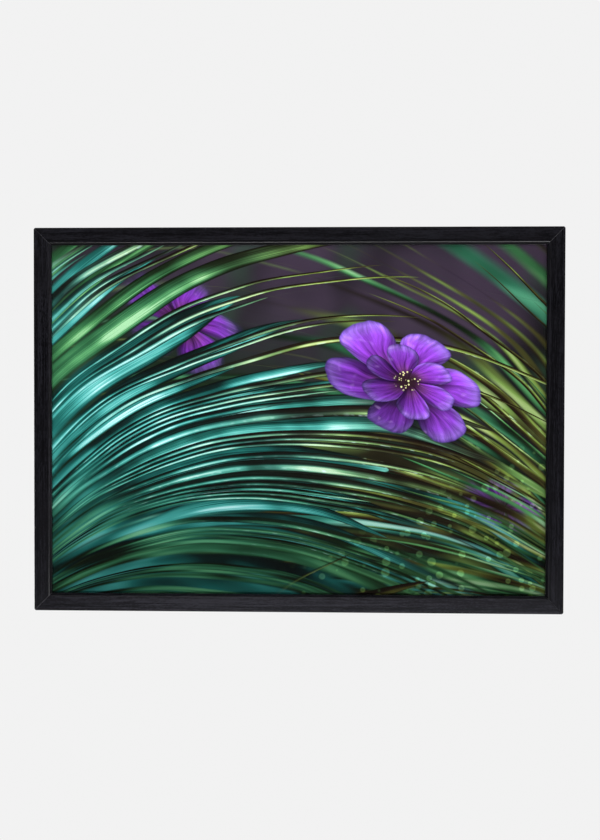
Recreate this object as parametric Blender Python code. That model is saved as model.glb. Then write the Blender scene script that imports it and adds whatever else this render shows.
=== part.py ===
"""Framed picture: a 70 x 50 cm print behind glass in a black-stained wooden frame.

The picture stands in the XZ plane and faces -Y. The origin is where it hangs: at mid-width, in the
plane of the rails' back faces, at the height where the two nails bear under the hangers' teeth.
A place on a rail is given by three distances: along it from its middle, across it from its outer
edge inwards, and deep into the frame from its front face backwards.
"""
import math

import bmesh
import bpy
from mathutils import Matrix, Vector

# Driving dimensions, in metres
PRINT_WIDTH = 0.700
PRINT_HEIGHT = 0.500
PRINT_THICKNESS = 0.0003
LIP_OVERLAP = 0.009          # how far the lip covers each edge of the print
FACE_WIDTH = 0.021           # the rails' flat front face
BEVEL = 0.003                # the slope at the sight edge, as wide as it is deep
FRAME_DEPTH = 0.022
LIP_DEPTH = 0.007            # front face to the glass's seat
REBATE_PLAY = 0.001          # room between the sheets' edges and the rebate wall
GLASS_THICKNESS = 0.002
BOARD_THICKNESS = 0.003
OUTER_ARRIS = 0.001          # rounding of the front outer edge
SIGHT_ARRIS = 0.0006         # rounding between face and bevel
BACK_ARRIS = 0.0005
CORNER_EASE = 0.0016         # leg of the small slope on each outer corner
GAP = 0.0003                 # between pieces that touch

TAB_WIDTH = 0.008
TAB_THICKNESS = 0.0005
TAB_REACH = 0.018            # how far a tab stands out over the board
TAB_ROOT = 0.007             # how far a tab goes into the wood
TAB_LIFT = 0.0015            # how far a tab's root lies behind the board's back
TAB_BEND_START = 0.002       # from the rebate wall to where the tab slopes down
TAB_BEND_END = 0.009         # and to where it lies flat on the board
TABS_ON_LONG_SIDE = 4
TABS_ON_SHORT_SIDE = 3
TAB_END_MARGIN = 0.085       # from the frame's outer corner to the first tab

V_NAIL_LEG = 0.005
V_NAIL_THICKNESS = 0.0005
V_NAIL_DEPTH = 0.010
V_NAIL_INSETS = (0.005, 0.0095)    # from both outer edges to the bend

HANGER_FROM_MIDDLE = 0.230
HANGER_LENGTH = 0.046
HANGER_WIDTH = 0.009
HANGER_THICKNESS = 0.0008
HANGER_EAR = 0.0085
HANGER_SLOPE = 0.003
HANGER_RISE = 0.0026         # room for a nail's head behind the raised middle
TOOTH_COUNT = 8
TOOTH_DEPTH = 0.0012

SCREW_HEAD_RADIUS = 0.0031
SCREW_HEAD_HEIGHT = 0.0019
SCREW_SHANK_RADIUS = 0.0012
SCREW_SHANK_LENGTH = 0.011
SCREW_POINT_LENGTH = 0.0025
SCREW_SLOT_WIDTH = 0.0009
SCREW_SLOT_LENGTH = 0.0036
SCREW_SLOT_DEPTH = 0.0010

BUMPER_RADIUS = 0.005
BUMPER_FROM_CORNER = 0.030

# Sizes that follow from those
SIGHT_WIDTH = PRINT_WIDTH - 2 * LIP_OVERLAP
SIGHT_HEIGHT = PRINT_HEIGHT - 2 * LIP_OVERLAP
RAIL_WIDTH = FACE_WIDTH + BEVEL
FRAME_WIDTH = SIGHT_WIDTH + 2 * RAIL_WIDTH
FRAME_HEIGHT = SIGHT_HEIGHT + 2 * RAIL_WIDTH
WALL_WIDTH = RAIL_WIDTH - LIP_OVERLAP - REBATE_PLAY
GLASS_FRONT = LIP_DEPTH + GAP
PRINT_FRONT = GLASS_FRONT + GLASS_THICKNESS + GAP
BOARD_FRONT = PRINT_FRONT + PRINT_THICKNESS + GAP
BOARD_BACK = BOARD_FRONT + BOARD_THICKNESS
HANGER_ACROSS = WALL_WIDTH / 2
NAIL_ACROSS = HANGER_ACROSS + HANGER_WIDTH / 2 - TOOTH_DEPTH
STANDOFF = GAP + HANGER_RISE + HANGER_THICKNESS
TOP_EDGE_Z = NAIL_ACROSS
MIDDLE_Z = TOP_EDGE_Z - FRAME_HEIGHT / 2

RIGHT_ANGLE = math.pi / 2
ROUND_SIDES = 24


def clear_scene():
    """Removes whatever the opened file holds."""
    for obj in list(bpy.data.objects):
        bpy.data.objects.remove(obj, do_unlink=True)


def make_material(name, colour, roughness, metallic=0.0, transmission=0.0):
    """A plain Principled finish."""
    material = bpy.data.materials.new(name)
    material.use_nodes = True
    shader = material.node_tree.nodes["Principled BSDF"]
    shader.inputs["Base Color"].default_value = (*colour, 1.0)
    shader.inputs["Roughness"].default_value = roughness
    shader.inputs["Metallic"].default_value = metallic
    shader.inputs["Transmission Weight"].default_value = transmission
    material.diffuse_color = (*colour, 1.0)
    return material


def link_mesh(name, mesh_builder, material=None):
    """Turns a filled bmesh into an object of that name."""
    bmesh.ops.recalc_face_normals(mesh_builder, faces=mesh_builder.faces)
    mesh = bpy.data.meshes.new(name)
    mesh_builder.to_mesh(mesh)
    mesh_builder.free()
    obj = bpy.data.objects.new(name, mesh)
    bpy.context.scene.collection.objects.link(obj)
    if material is not None:
        mesh.materials.append(material)
    return obj


def make_empty(name, location, turn):
    """A guide that other pieces are placed from, turned about the Y axis."""
    empty = bpy.data.objects.new(name, None)
    empty.location = location
    empty.rotation_euler = (0.0, turn, 0.0)
    bpy.context.scene.collection.objects.link(empty)
    return empty


def set_on(obj, parent, along=0.0, across=0.0, deep=0.0):
    """Places obj in a side's or corner's own frame."""
    obj.parent = parent
    obj.location = (along, deep - FRAME_DEPTH, -across)
    return obj


def as_cutter(obj):
    """Marks a shape that is only subtracted."""
    obj.hide_render = True
    obj.display_type = "WIRE"
    return obj


def cut(obj, cutter):
    """Subtracts the cutter from obj."""
    modifier = obj.modifiers.new("Cut " + cutter.name, "BOOLEAN")
    modifier.operation = "DIFFERENCE"
    modifier.solver = "EXACT"
    modifier.object = cutter


def box(name, size, material=None):
    """A box centred on its origin."""
    builder = bmesh.new()
    bmesh.ops.create_cube(builder, size=1.0)
    bmesh.ops.scale(builder, vec=size, verts=builder.verts)
    return link_mesh(name, builder, material)


def loft(builder, loops):
    """Joins closed loops of points one after the other and caps both ends."""
    rings = [[builder.verts.new(point) for point in loop] for loop in loops]
    for near, far in zip(rings, rings[1:]):
        count = len(near)
        for i in range(count):
            j = (i + 1) % count
            builder.faces.new((near[i], near[j], far[j], far[i]))
    builder.faces.new(rings[0])
    builder.faces.new(rings[-1])


def turned(name, profile, material=None):
    """A round solid about the Y axis. The profile holds (radius, y) pairs; both ends are on the axis."""
    builder = bmesh.new()
    angles = [2 * math.pi * k / ROUND_SIDES for k in range(ROUND_SIDES)]
    rings = []
    for radius, y in profile[1:-1]:
        ring = [builder.verts.new((radius * math.cos(a), y, radius * math.sin(a))) for a in angles]
        rings.append(ring)
    first = builder.verts.new((0.0, profile[0][1], 0.0))
    last = builder.verts.new((0.0, profile[-1][1], 0.0))
    for k in range(ROUND_SIDES):
        j = (k + 1) % ROUND_SIDES
        builder.faces.new((first, rings[0][k], rings[0][j]))
        builder.faces.new((last, rings[-1][j], rings[-1][k]))
        for near, far in zip(rings, rings[1:]):
            builder.faces.new((near[k], near[j], far[j], far[k]))
    obj = link_mesh(name, builder, material)
    obj.data.shade_smooth()
    obj.data.set_sharp_from_angle(angle=math.radians(35))
    return obj


def arc(centre, radius, start, end, steps):
    """Points on an arc, ends included, angles in degrees."""
    points = []
    for k in range(steps + 1):
        angle = math.radians(start + (end - start) * k / steps)
        points.append((centre[0] + radius * math.cos(angle), centre[1] + radius * math.sin(angle)))
    return points


def moulding_profile():
    """The rail's section as (across, deep) points: face, bevel, lip, rebate, wall and back."""
    tangent = SIGHT_ARRIS * math.tan(math.radians(22.5))
    sight_centre = (FACE_WIDTH - tangent, SIGHT_ARRIS)
    points = arc((OUTER_ARRIS, OUTER_ARRIS), OUTER_ARRIS, 180, 270, 4)
    points += arc(sight_centre, SIGHT_ARRIS, -90, -45, 2)
    points += [(RAIL_WIDTH, BEVEL), (RAIL_WIDTH, LIP_DEPTH), (WALL_WIDTH, LIP_DEPTH)]
    points += [(WALL_WIDTH, FRAME_DEPTH)]
    points += [(BACK_ARRIS, FRAME_DEPTH), (0.0, FRAME_DEPTH - BACK_ARRIS)]
    return points


def make_rail(name, parent, length, material):
    """One rail with mitred ends, its outer corners eased, in its side's frame."""
    half = length / 2 - GAP / math.sqrt(2)
    profile = moulding_profile()
    blunt = CORNER_EASE / 2
    end_loop = []
    full_loop = []
    for across, deep in profile:
        eased = max(across, blunt)
        end_loop.append((half - eased, deep, -eased))
        full_loop.append((half - max(across, CORNER_EASE), deep, -across))
    loops = [[(-x, y, z) for x, y, z in end_loop], [(-x, y, z) for x, y, z in full_loop]]
    loops += [full_loop, end_loop]
    builder = bmesh.new()
    loft(builder, loops)
    bmesh.ops.remove_doubles(builder, verts=builder.verts, dist=1e-7)
    return set_on(link_mesh(name, builder, material), parent)


def make_sheet(name, width, height, front, thickness, material):
    """A flat sheet inside the rebate."""
    sheet = box(name, (width, thickness, height), material)
    sheet.location = (0.0, front + thickness / 2 - FRAME_DEPTH, MIDDLE_Z)
    return sheet


def make_tab(name, parent, along, material):
    """A flat steel tab with a round tip, rooted in the rebate wall and bent down to the board."""
    half = TAB_WIDTH / 2
    straight = TAB_REACH - half
    stations = [(-TAB_ROOT, half, TAB_LIFT), (TAB_BEND_START, half, TAB_LIFT)]
    stations += [(TAB_BEND_END, half, 0.0), (straight, half, 0.0)]
    for degrees in (30, 55, 75):
        angle = math.radians(degrees)
        stations.append((straight + half * math.sin(angle), half * math.cos(angle), 0.0))
    loops = []
    for reach, half_width, lift in stations:
        back = lift + TAB_THICKNESS
        loops.append([
            (-half_width, lift, -reach), (half_width, lift, -reach),
            (half_width, back, -reach), (-half_width, back, -reach),
        ])
    builder = bmesh.new()
    loft(builder, loops)
    tab = link_mesh(name, builder, material)
    return set_on(tab, parent, along, WALL_WIDTH, BOARD_BACK + GAP)


def cut_tab_slot(rail, parent, along):
    """The slot in the rebate wall that a tab's root sits in."""
    depth = TAB_ROOT + GAP
    size = (TAB_WIDTH + 2 * GAP, TAB_THICKNESS + 2 * GAP, 2 * depth)
    slot = as_cutter(box("slot_" + rail.name, size))
    set_on(slot, parent, along, WALL_WIDTH, BOARD_BACK + GAP + TAB_LIFT + TAB_THICKNESS / 2)
    cut(rail, slot)


def tab_places(length, count):
    """Distances from the rail's middle, evenly spread between the end margins."""
    reach = length / 2 - TAB_END_MARGIN
    return [-reach + 2 * reach * k / (count - 1) for k in range(count)]


def v_nail_outline(leg, thickness, bend):
    """An L with its bend on the mitre: (across the upright rail, across the level rail) points."""
    return [
        (bend, bend), (bend + leg, bend), (bend + leg, bend + thickness),
        (bend + thickness, bend + thickness), (bend + thickness, bend + leg), (bend, bend + leg),
    ]


def make_v_nail(name, parent, outline, depth, proud=0.0, material=None):
    """A V-nail, or its pocket's cutter: the outline from proud of the back face to a depth in the wood."""
    builder = bmesh.new()
    loft(builder, [[(x, y, -z) for x, z in outline] for y in (-depth, proud)])
    return set_on(link_mesh(name, builder, material), parent, deep=FRAME_DEPTH)


def hanger_lower_edge():
    """Stations along the hanger: (along, standing off the wood, cut into the lower edge)."""
    half = HANGER_LENGTH / 2
    foot = half - HANGER_EAR
    crown = foot - HANGER_SLOPE
    middle = []
    for k in range(2 * TOOTH_COUNT + 1):
        along = -crown + 2 * crown * k / (2 * TOOTH_COUNT)
        middle.append((along, HANGER_RISE, TOOTH_DEPTH if k % 2 else 0.0))
    return [(-half, 0.0, 0.0), (-foot, 0.0, 0.0)] + middle + [(foot, 0.0, 0.0), (half, 0.0, 0.0)]


def make_hanger(name, parent, along, material):
    """A sawtooth hanger: flat ears, a raised middle and teeth along its lower edge."""
    top = HANGER_WIDTH / 2
    loops = []
    for x, rise, notch in hanger_lower_edge():
        front = GAP + rise
        back = front + HANGER_THICKNESS
        low = -top + notch
        loops.append([(x, front, top), (x, back, top), (x, back, low), (x, front, low)])
    builder = bmesh.new()
    loft(builder, loops)
    hanger = link_mesh(name, builder, material)
    return set_on(hanger, parent, along, HANGER_ACROSS, FRAME_DEPTH)


def hanger_holes(along):
    """The two screw places of a hanger at that place along the top rail."""
    arm = HANGER_LENGTH / 2 - HANGER_EAR / 2
    return (along - arm, along + arm)


def make_cross(name):
    """The cutter for a screw's cross slot: a plus sign as deep as the slot, and as much proud of it."""
    near = SCREW_SLOT_WIDTH / 2
    far = SCREW_SLOT_LENGTH / 2
    arm = [(far, -near), (far, near), (near, near)]
    outline = []
    for quarter in range(4):
        turn = Matrix.Rotation(quarter * RIGHT_ANGLE, 2)
        outline += [turn @ Vector(point) for point in arm]
    builder = bmesh.new()
    loft(builder, [[(x, y, z) for x, z in outline] for y in (-SCREW_SLOT_DEPTH, SCREW_SLOT_DEPTH)])
    return link_mesh(name, builder)


def make_screw(name, parent, along, material):
    """A pan-head wood screw with a cross slot, its head on the hanger's ear."""
    seat = 2 * GAP + HANGER_THICKNESS
    top = seat + SCREW_HEAD_HEIGHT
    tip = seat - SCREW_SHANK_LENGTH
    profile = [
        (0.0, top),
        (SCREW_HEAD_RADIUS * 0.60, top),
        (SCREW_HEAD_RADIUS * 0.90, top - SCREW_HEAD_HEIGHT * 0.35),
        (SCREW_HEAD_RADIUS, top - SCREW_HEAD_HEIGHT * 0.75),
        (SCREW_HEAD_RADIUS, seat),
        (SCREW_SHANK_RADIUS, seat),
        (SCREW_SHANK_RADIUS, tip + SCREW_POINT_LENGTH),
        (0.0, tip),
    ]
    screw = set_on(turned(name, profile, material), parent, along, HANGER_ACROSS, FRAME_DEPTH)
    cross = as_cutter(make_cross("cross_" + name))
    set_on(cross, parent, along, HANGER_ACROSS, FRAME_DEPTH + top)
    cut(screw, cross)
    return screw


def pilot_cutter(name, parent, along):
    """The round hole for a screw's shank, through the ear and into the wood."""
    radius = SCREW_SHANK_RADIUS + GAP
    bottom = -(SCREW_SHANK_LENGTH + GAP)
    top = 2 * HANGER_THICKNESS + 2 * GAP
    profile = [(0.0, top), (radius, top), (radius, bottom), (0.0, bottom)]
    hole = as_cutter(turned(name, profile))
    return set_on(hole, parent, along, HANGER_ACROSS, FRAME_DEPTH)


def make_bumper(name, parent, along, material):
    """A low rubber dome that stands off the wall as far as the hangers do."""
    profile = [
        (0.0, STANDOFF),
        (BUMPER_RADIUS * 0.55, STANDOFF),
        (BUMPER_RADIUS * 0.82, STANDOFF * 0.86),
        (BUMPER_RADIUS * 0.96, STANDOFF * 0.52),
        (BUMPER_RADIUS, GAP),
        (0.0, GAP),
    ]
    return set_on(turned(name, profile, material), parent, along, WALL_WIDTH / 2, FRAME_DEPTH)


def build():
    """Models every piece of the framed picture."""
    clear_scene()
    wood = make_material("black_wood", (0.010, 0.010, 0.012), 0.42)
    glass = make_material("clear_glass", (0.93, 0.96, 0.95), 0.03, transmission=1.0)
    paper = make_material("print_paper", (0.06, 0.12, 0.10), 0.55)
    hardboard = make_material("hardboard", (0.30, 0.19, 0.11), 0.80)
    steel = make_material("zinc_steel", (0.62, 0.63, 0.62), 0.38, metallic=1.0)
    rubber = make_material("rubber", (0.035, 0.035, 0.035), 0.70)

    half_width = FRAME_WIDTH / 2
    top_z = TOP_EDGE_Z
    bottom_z = TOP_EDGE_Z - FRAME_HEIGHT
    sides = {
        "top": (make_empty("side_top", (0.0, 0.0, top_z), 0.0), FRAME_WIDTH),
        "right": (make_empty("side_right", (half_width, 0.0, MIDDLE_Z), RIGHT_ANGLE), FRAME_HEIGHT),
        "bottom": (make_empty("side_bottom", (0.0, 0.0, bottom_z), 2 * RIGHT_ANGLE), FRAME_WIDTH),
        "left": (make_empty("side_left", (-half_width, 0.0, MIDDLE_Z), -RIGHT_ANGLE), FRAME_HEIGHT),
    }
    rails = {}
    for side, (guide, length) in sides.items():
        rails[side] = make_rail("rail_" + side, guide, length, wood)

    make_sheet("glazing", PRINT_WIDTH, PRINT_HEIGHT, GLASS_FRONT, GLASS_THICKNESS, glass)
    make_sheet("print", PRINT_WIDTH, PRINT_HEIGHT, PRINT_FRONT, PRINT_THICKNESS, paper)
    make_sheet("backing_board", PRINT_WIDTH, PRINT_HEIGHT, BOARD_FRONT, BOARD_THICKNESS, hardboard)

    for side, (guide, length) in sides.items():
        count = TABS_ON_LONG_SIDE if length == FRAME_WIDTH else TABS_ON_SHORT_SIDE
        for number, along in enumerate(tab_places(length, count), start=1):
            cut_tab_slot(rails[side], guide, along)
            make_tab(f"tab_{side}_{number}", guide, along, steel)

    corners = {
        "top_left": (-half_width, top_z, 0.0, ("top", "left")),
        "top_right": (half_width, top_z, RIGHT_ANGLE, ("top", "right")),
        "bottom_right": (half_width, bottom_z, 2 * RIGHT_ANGLE, ("bottom", "right")),
        "bottom_left": (-half_width, bottom_z, -RIGHT_ANGLE, ("bottom", "left")),
    }
    for corner, (x, z, turn, joined) in corners.items():
        guide = make_empty("corner_" + corner, (x, 0.0, z), turn)
        for number, bend in enumerate(V_NAIL_INSETS, start=1):
            outline = v_nail_outline(V_NAIL_LEG, V_NAIL_THICKNESS, bend)
            make_v_nail(f"v_nail_{corner}_{number}", guide, outline, V_NAIL_DEPTH, material=steel)
            wider = v_nail_outline(V_NAIL_LEG + 2 * GAP, V_NAIL_THICKNESS + 2 * GAP, bend - GAP)
            pocket = as_cutter(make_v_nail("pocket_" + corner, guide, wider, V_NAIL_DEPTH + GAP, GAP))
            for side in joined:
                cut(rails[side], pocket)

    top = sides["top"][0]
    for word, along in (("left", -HANGER_FROM_MIDDLE), ("right", HANGER_FROM_MIDDLE)):
        hanger = make_hanger("hanger_" + word, top, along, steel)
        for number, place in enumerate(hanger_holes(along), start=1):
            hole = pilot_cutter("pilot_" + word, top, place)
            cut(hanger, hole)
            cut(rails["top"], hole)
            make_screw(f"hanger_screw_{word}_{number}", top, place, steel)

    bottom = sides["bottom"][0]
    from_middle = half_width - BUMPER_FROM_CORNER
    make_bumper("bumper_left", bottom, from_middle, rubber)
    make_bumper("bumper_right", bottom, -from_middle, rubber)


build()
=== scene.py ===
# %% [markdown]
# # A framed picture
#
# This lesson dresses a picture that hangs on a wall: four mitred rails of black-stained wood, a
# pane of glass, a printed sheet, a board behind it, and the steel and rubber fittings on the back.
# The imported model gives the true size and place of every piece. It could be rendered as it is, but
# its surfaces are plain and its corners are crisp. So each step below gives one piece a finer
# surface or a finish, and leaves it exactly where the model has it.

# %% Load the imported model
import math

import bpy
import numpy as np
from mathutils import Matrix, Vector


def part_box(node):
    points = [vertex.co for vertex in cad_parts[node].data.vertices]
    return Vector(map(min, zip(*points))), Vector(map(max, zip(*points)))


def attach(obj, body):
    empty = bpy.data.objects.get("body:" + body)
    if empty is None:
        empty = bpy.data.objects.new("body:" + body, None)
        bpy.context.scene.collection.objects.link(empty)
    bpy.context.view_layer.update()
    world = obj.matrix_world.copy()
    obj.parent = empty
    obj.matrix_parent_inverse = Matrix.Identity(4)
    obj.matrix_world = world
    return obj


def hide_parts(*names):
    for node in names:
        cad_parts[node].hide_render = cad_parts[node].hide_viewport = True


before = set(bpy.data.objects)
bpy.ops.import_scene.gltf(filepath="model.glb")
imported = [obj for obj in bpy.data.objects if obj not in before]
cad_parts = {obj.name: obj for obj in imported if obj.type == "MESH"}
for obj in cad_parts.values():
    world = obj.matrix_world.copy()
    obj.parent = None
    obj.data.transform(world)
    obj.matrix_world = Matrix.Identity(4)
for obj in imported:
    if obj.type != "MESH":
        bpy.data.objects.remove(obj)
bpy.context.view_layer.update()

MM = 0.001

# %% [markdown]
# ## Where the pieces are
#
# The picture stands in the XZ plane and faces -Y. A place on a rail is easiest to say as three
# distances: along the rail from its middle, across it from its outer edge inwards, and deep into
# it from its front face. The sizes could be typed in again, but reading them from the solids keeps
# the finished pieces on the model whatever its size is.

# %% Read the main sizes
top_low, top_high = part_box("rail_top")
pane_low, pane_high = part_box("glazing")

HALF_WIDTH = -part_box("rail_left")[0].x
TOP_Z = top_high.z
BOTTOM_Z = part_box("rail_bottom")[0].z
HALF_HEIGHT = (TOP_Z - BOTTOM_Z) / 2
MIDDLE_Z = (TOP_Z + BOTTOM_Z) / 2
FACE_Y = top_low.y
WOOD_BACK_Y = top_high.y
RAIL_WIDTH = top_high.z - top_low.z
RAIL_DEPTH = WOOD_BACK_Y - FACE_Y
print("frame", 2 * HALF_WIDTH, "x", 2 * HALF_HEIGHT, "m, rails", RAIL_WIDTH, "wide and", RAIL_DEPTH, "deep")

# %% [markdown]
# ## Camera
#
# The picture was photographed almost square on, from about a metre and a half, a touch right of its
# middle and a touch above. A camera can be aimed with a constraint, or by eye in the viewport. Here its
# three axes are worked out from a distance and three small angles, because those are the values
# that a comparison with the frame's four outer edges gives.

# %% Make the camera
CAMERA_DISTANCE = 1.6
CAMERA_TO_THE_RIGHT = math.radians(1.895)
CAMERA_UP = math.radians(1.010)
CAMERA_ROLL = math.radians(0.109)
AIM_RIGHT_OF_MIDDLE = 3.8 * MM
AIM_ABOVE_MIDDLE = 0.3 * MM
IMAGE_HEIGHT = 840
FOCAL_PIXELS = 1164.2
SENSOR = 36.0


def aim_camera(camera):
    """Places the camera on a sphere round the aim point and turns it to look at that point."""
    aim = Vector((AIM_RIGHT_OF_MIDDLE, FACE_Y, MIDDLE_Z + AIM_ABOVE_MIDDLE))
    level = math.cos(CAMERA_UP)
    back = Vector((
        level * math.sin(CAMERA_TO_THE_RIGHT), -level * math.cos(CAMERA_TO_THE_RIGHT), math.sin(CAMERA_UP),
    ))
    right = (-back).cross(Vector((0.0, 0.0, 1.0))).normalized()
    up = right.cross(-back)
    rolled_right = right * math.cos(CAMERA_ROLL) + up * math.sin(CAMERA_ROLL)
    rolled_up = up * math.cos(CAMERA_ROLL) - right * math.sin(CAMERA_ROLL)
    turn = Matrix((rolled_right, rolled_up, back)).transposed().to_4x4()
    camera.matrix_world = Matrix.Translation(aim + back * CAMERA_DISTANCE) @ turn


camera_data = bpy.data.cameras.new("camera")
camera_data.sensor_fit = "VERTICAL"
camera_data.sensor_width = SENSOR
camera_data.sensor_height = SENSOR
camera_data.lens = FOCAL_PIXELS / IMAGE_HEIGHT * SENSOR
camera = bpy.data.objects.new("camera", camera_data)
bpy.context.scene.collection.objects.link(camera)
aim_camera(camera)
bpy.context.scene.camera = camera
print("camera at", [round(value, 4) for value in camera.matrix_world.translation])

# %% [markdown]
# ## Nodes in a few words
#
# A procedural finish is a tree of small nodes. Placing each by hand in the shader editor shows the
# tree well, but a long one is easier to read as a formula. These helpers add one node each, plug in
# numbers or other nodes' outputs alike, and return the output, so that a finish reads like
# arithmetic.


# %% Helpers that add one node each
def feed(tree, socket, value):
    """Links a node's output to the socket, or sets the socket's own value."""
    if isinstance(value, bpy.types.NodeSocket):
        tree.links.new(value, socket)
    elif isinstance(value, tuple) and socket.type == "RGBA":
        socket.default_value = (*value, 1.0)
    else:
        socket.default_value = value


def calc(tree, operation, *values):
    """One step of arithmetic on numbers."""
    node = tree.nodes.new("ShaderNodeMath")
    node.operation = operation
    for socket, value in zip(node.inputs, values):
        feed(tree, socket, value)
    return node.outputs[0]


def add(tree, first, second):
    """first + second."""
    return calc(tree, "ADD", first, second)


def subtract(tree, first, second):
    """first - second."""
    return calc(tree, "SUBTRACT", first, second)


def times(tree, first, *others):
    """The product of all the values."""
    product = first
    for other in others:
        product = calc(tree, "MULTIPLY", product, other)
    return product


def weighted(tree, *pairs):
    """The sum of each value times its weight."""
    total = times(tree, *pairs[0])
    for value, weight in pairs[1:]:
        total = add(tree, total, times(tree, value, weight))
    return total


def join(tree, x=0.0, y=0.0, z=0.0):
    """Three numbers as one vector."""
    node = tree.nodes.new("ShaderNodeCombineXYZ")
    for socket, value in zip(node.inputs, (x, y, z)):
        feed(tree, socket, value)
    return node.outputs[0]


def split(tree, vector):
    """A vector as three numbers."""
    node = tree.nodes.new("ShaderNodeSeparateXYZ")
    feed(tree, node.inputs[0], vector)
    return node.outputs


def spread(tree, value, low, high, start=0.0, end=1.0, eased=True):
    """The share of the way from low to high, as a number from start to end, held at both."""
    node = tree.nodes.new("ShaderNodeMapRange")
    node.interpolation_type = "SMOOTHSTEP" if eased else "LINEAR"
    for socket, number in zip(node.inputs, (value, low, high, start, end)):
        feed(tree, socket, number)
    return node.outputs[0]


def noise(tree, vector, scale, detail=2.0, roughness=0.5):
    """Soft noise around 0.5, its lumps about 1 / scale wide."""
    node = tree.nodes.new("ShaderNodeTexNoise")
    feed(tree, node.inputs["Vector"], vector)
    feed(tree, node.inputs["Scale"], scale)
    feed(tree, node.inputs["Detail"], detail)
    feed(tree, node.inputs["Roughness"], roughness)
    return node.outputs["Fac"]


def blend(tree, share, first, second, how="MIX"):
    """A colour between first, at share 0, and second, at share 1, or the two joined another way."""
    node = tree.nodes.new("ShaderNodeMix")
    node.data_type = "RGBA"
    node.blend_type = how
    feed(tree, node.inputs["Factor"], share)
    feed(tree, node.inputs[6], first)
    feed(tree, node.inputs[7], second)
    return node.outputs[2]


def ramp(tree, value, stops):
    """A colour read from a row of (place, colour) stops."""
    node = tree.nodes.new("ShaderNodeValToRGB")
    elements = node.color_ramp.elements
    while len(elements) < len(stops):
        elements.new(1.0)
    for element, (place, colour) in zip(elements, stops):
        element.position = place
        element.color = (*colour, 1.0)
    feed(tree, node.inputs[0], value)
    return node.outputs[0]


def bump(tree, height, distance):
    """A normal that leans as if the surface rose by height times distance."""
    node = tree.nodes.new("ShaderNodeBump")
    node.inputs["Distance"].default_value = distance
    feed(tree, node.inputs["Height"], height)
    return node.outputs["Normal"]


def object_place(tree):
    """The point on the piece, in metres."""
    return tree.nodes.new("ShaderNodeTexCoord").outputs["Object"]


def attribute(tree, name):
    """The number that a mesh stores under that name, one for each of its points."""
    node = tree.nodes.new("ShaderNodeAttribute")
    node.attribute_name = name
    return node.outputs["Fac"]


def new_finish(name):
    """An empty material with its tree and its Principled shader."""
    material = bpy.data.materials.new(name)
    material.use_nodes = True
    return material, material.node_tree, material.node_tree.nodes["Principled BSDF"]


def set_finish(tree, shader, colour, roughness, normal=None):
    """Plugs what changes over the surface into the Principled shader."""
    feed(tree, shader.inputs["Base Color"], colour)
    feed(tree, shader.inputs["Roughness"], roughness)
    if normal is not None:
        feed(tree, shader.inputs["Normal"], normal)


def mix_shaders(tree, share, first, second):
    """The first shader node at share 0, the second at share 1."""
    node = tree.nodes.new("ShaderNodeMixShader")
    for socket, value in zip(node.inputs, (share, first.outputs[0], second.outputs[0])):
        feed(tree, socket, value)
    return node.outputs[0]


print("node helpers ready")

# %% [markdown]
# ## Surfaces in a few words
#
# Every new piece here is one closed outline carried through space: a moulding's section along its
# rail, a strip's section along its bends, a circle along a screw's axis. Such a shape could be
# extruded and bevelled by hand, but then it has no points between its edges to carry grain or
# dents. Computing all its rings at once as one numpy array keeps the shape a formula, and the mesh
# gets as many points as its finish needs.


# %% Helpers that turn rings of points into a mesh
def ring_faces(rings, points_per_ring):
    """Quads between neighbouring rings, and one many-cornered face that closes each end."""
    start = np.arange(rings - 1)[:, None] * points_per_ring
    here = start + np.arange(points_per_ring)[None, :]
    after = start + (np.arange(points_per_ring)[None, :] + 1) % points_per_ring
    quads = np.stack([here, after, after + points_per_ring, here + points_per_ring], axis=-1)
    first = np.arange(points_per_ring)[::-1]
    last = (rings - 1) * points_per_ring + np.arange(points_per_ring)
    return [quads.reshape(-1, 4), first[None, :], last[None, :]]


def signed_volume(points, faces):
    """A sixth of the sum of triple products over all triangles: above zero if faces point outwards."""
    total = 0.0
    for corners in faces:
        first = points[corners[:, 0]]
        for k in range(1, corners.shape[1] - 1):
            facing = np.cross(points[corners[:, k]], points[corners[:, k + 1]])
            total += float(np.einsum("ij,ij->", first, facing))
    return total / 6


def mesh_from_arrays(name, points, faces):
    """A mesh from an (n, 3) array of points and arrays of faces, one array for each number of corners."""
    if signed_volume(points, faces) < 0:
        faces = [corners[:, ::-1] for corners in faces]
    corners = np.concatenate([part.ravel() for part in faces]).astype(np.int32)
    sizes = np.concatenate([np.full(len(part), part.shape[1]) for part in faces])
    mesh = bpy.data.meshes.new(name)
    mesh.vertices.add(len(points))
    mesh.vertices.foreach_set("co", points.astype(np.float32).ravel())
    mesh.loops.add(len(corners))
    mesh.loops.foreach_set("vertex_index", corners)
    mesh.polygons.add(len(sizes))
    mesh.polygons.foreach_set("loop_start", (np.cumsum(sizes) - sizes).astype(np.int32))
    mesh.update(calc_edges=True)
    return mesh


def carried(name, rings, material, sharp_above=32):
    """A piece from an array of rings (ring, point, xyz), smooth but for edges sharper than the angle."""
    count, around = rings.shape[:2]
    mesh = mesh_from_arrays(name, rings.reshape(-1, 3), ring_faces(count, around))
    mesh.materials.append(material)
    mesh.shade_smooth()
    mesh.set_sharp_from_angle(angle=math.radians(sharp_above))
    piece = bpy.data.objects.new(name, mesh)
    bpy.context.scene.collection.objects.link(piece)
    return piece


def stand_in(piece, node):
    """Rides the piece on the one body, in place of its CAD node."""
    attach(piece, "root")
    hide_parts(node)


def box_middle(low, high):
    """The middle between a box's two corners, as three numbers."""
    return [(first + last) / 2 for first, last in zip(low, high)]


def straight(value, low, high):
    """0 below low, 1 above high, and a straight slope between them."""
    return np.clip((value - low) / (high - low), 0.0, 1.0)


def eased(value, low, high):
    """0 below low, 1 above high, and a smooth step between them."""
    share = straight(value, low, high)
    return share * share * (3 - 2 * share)


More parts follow.
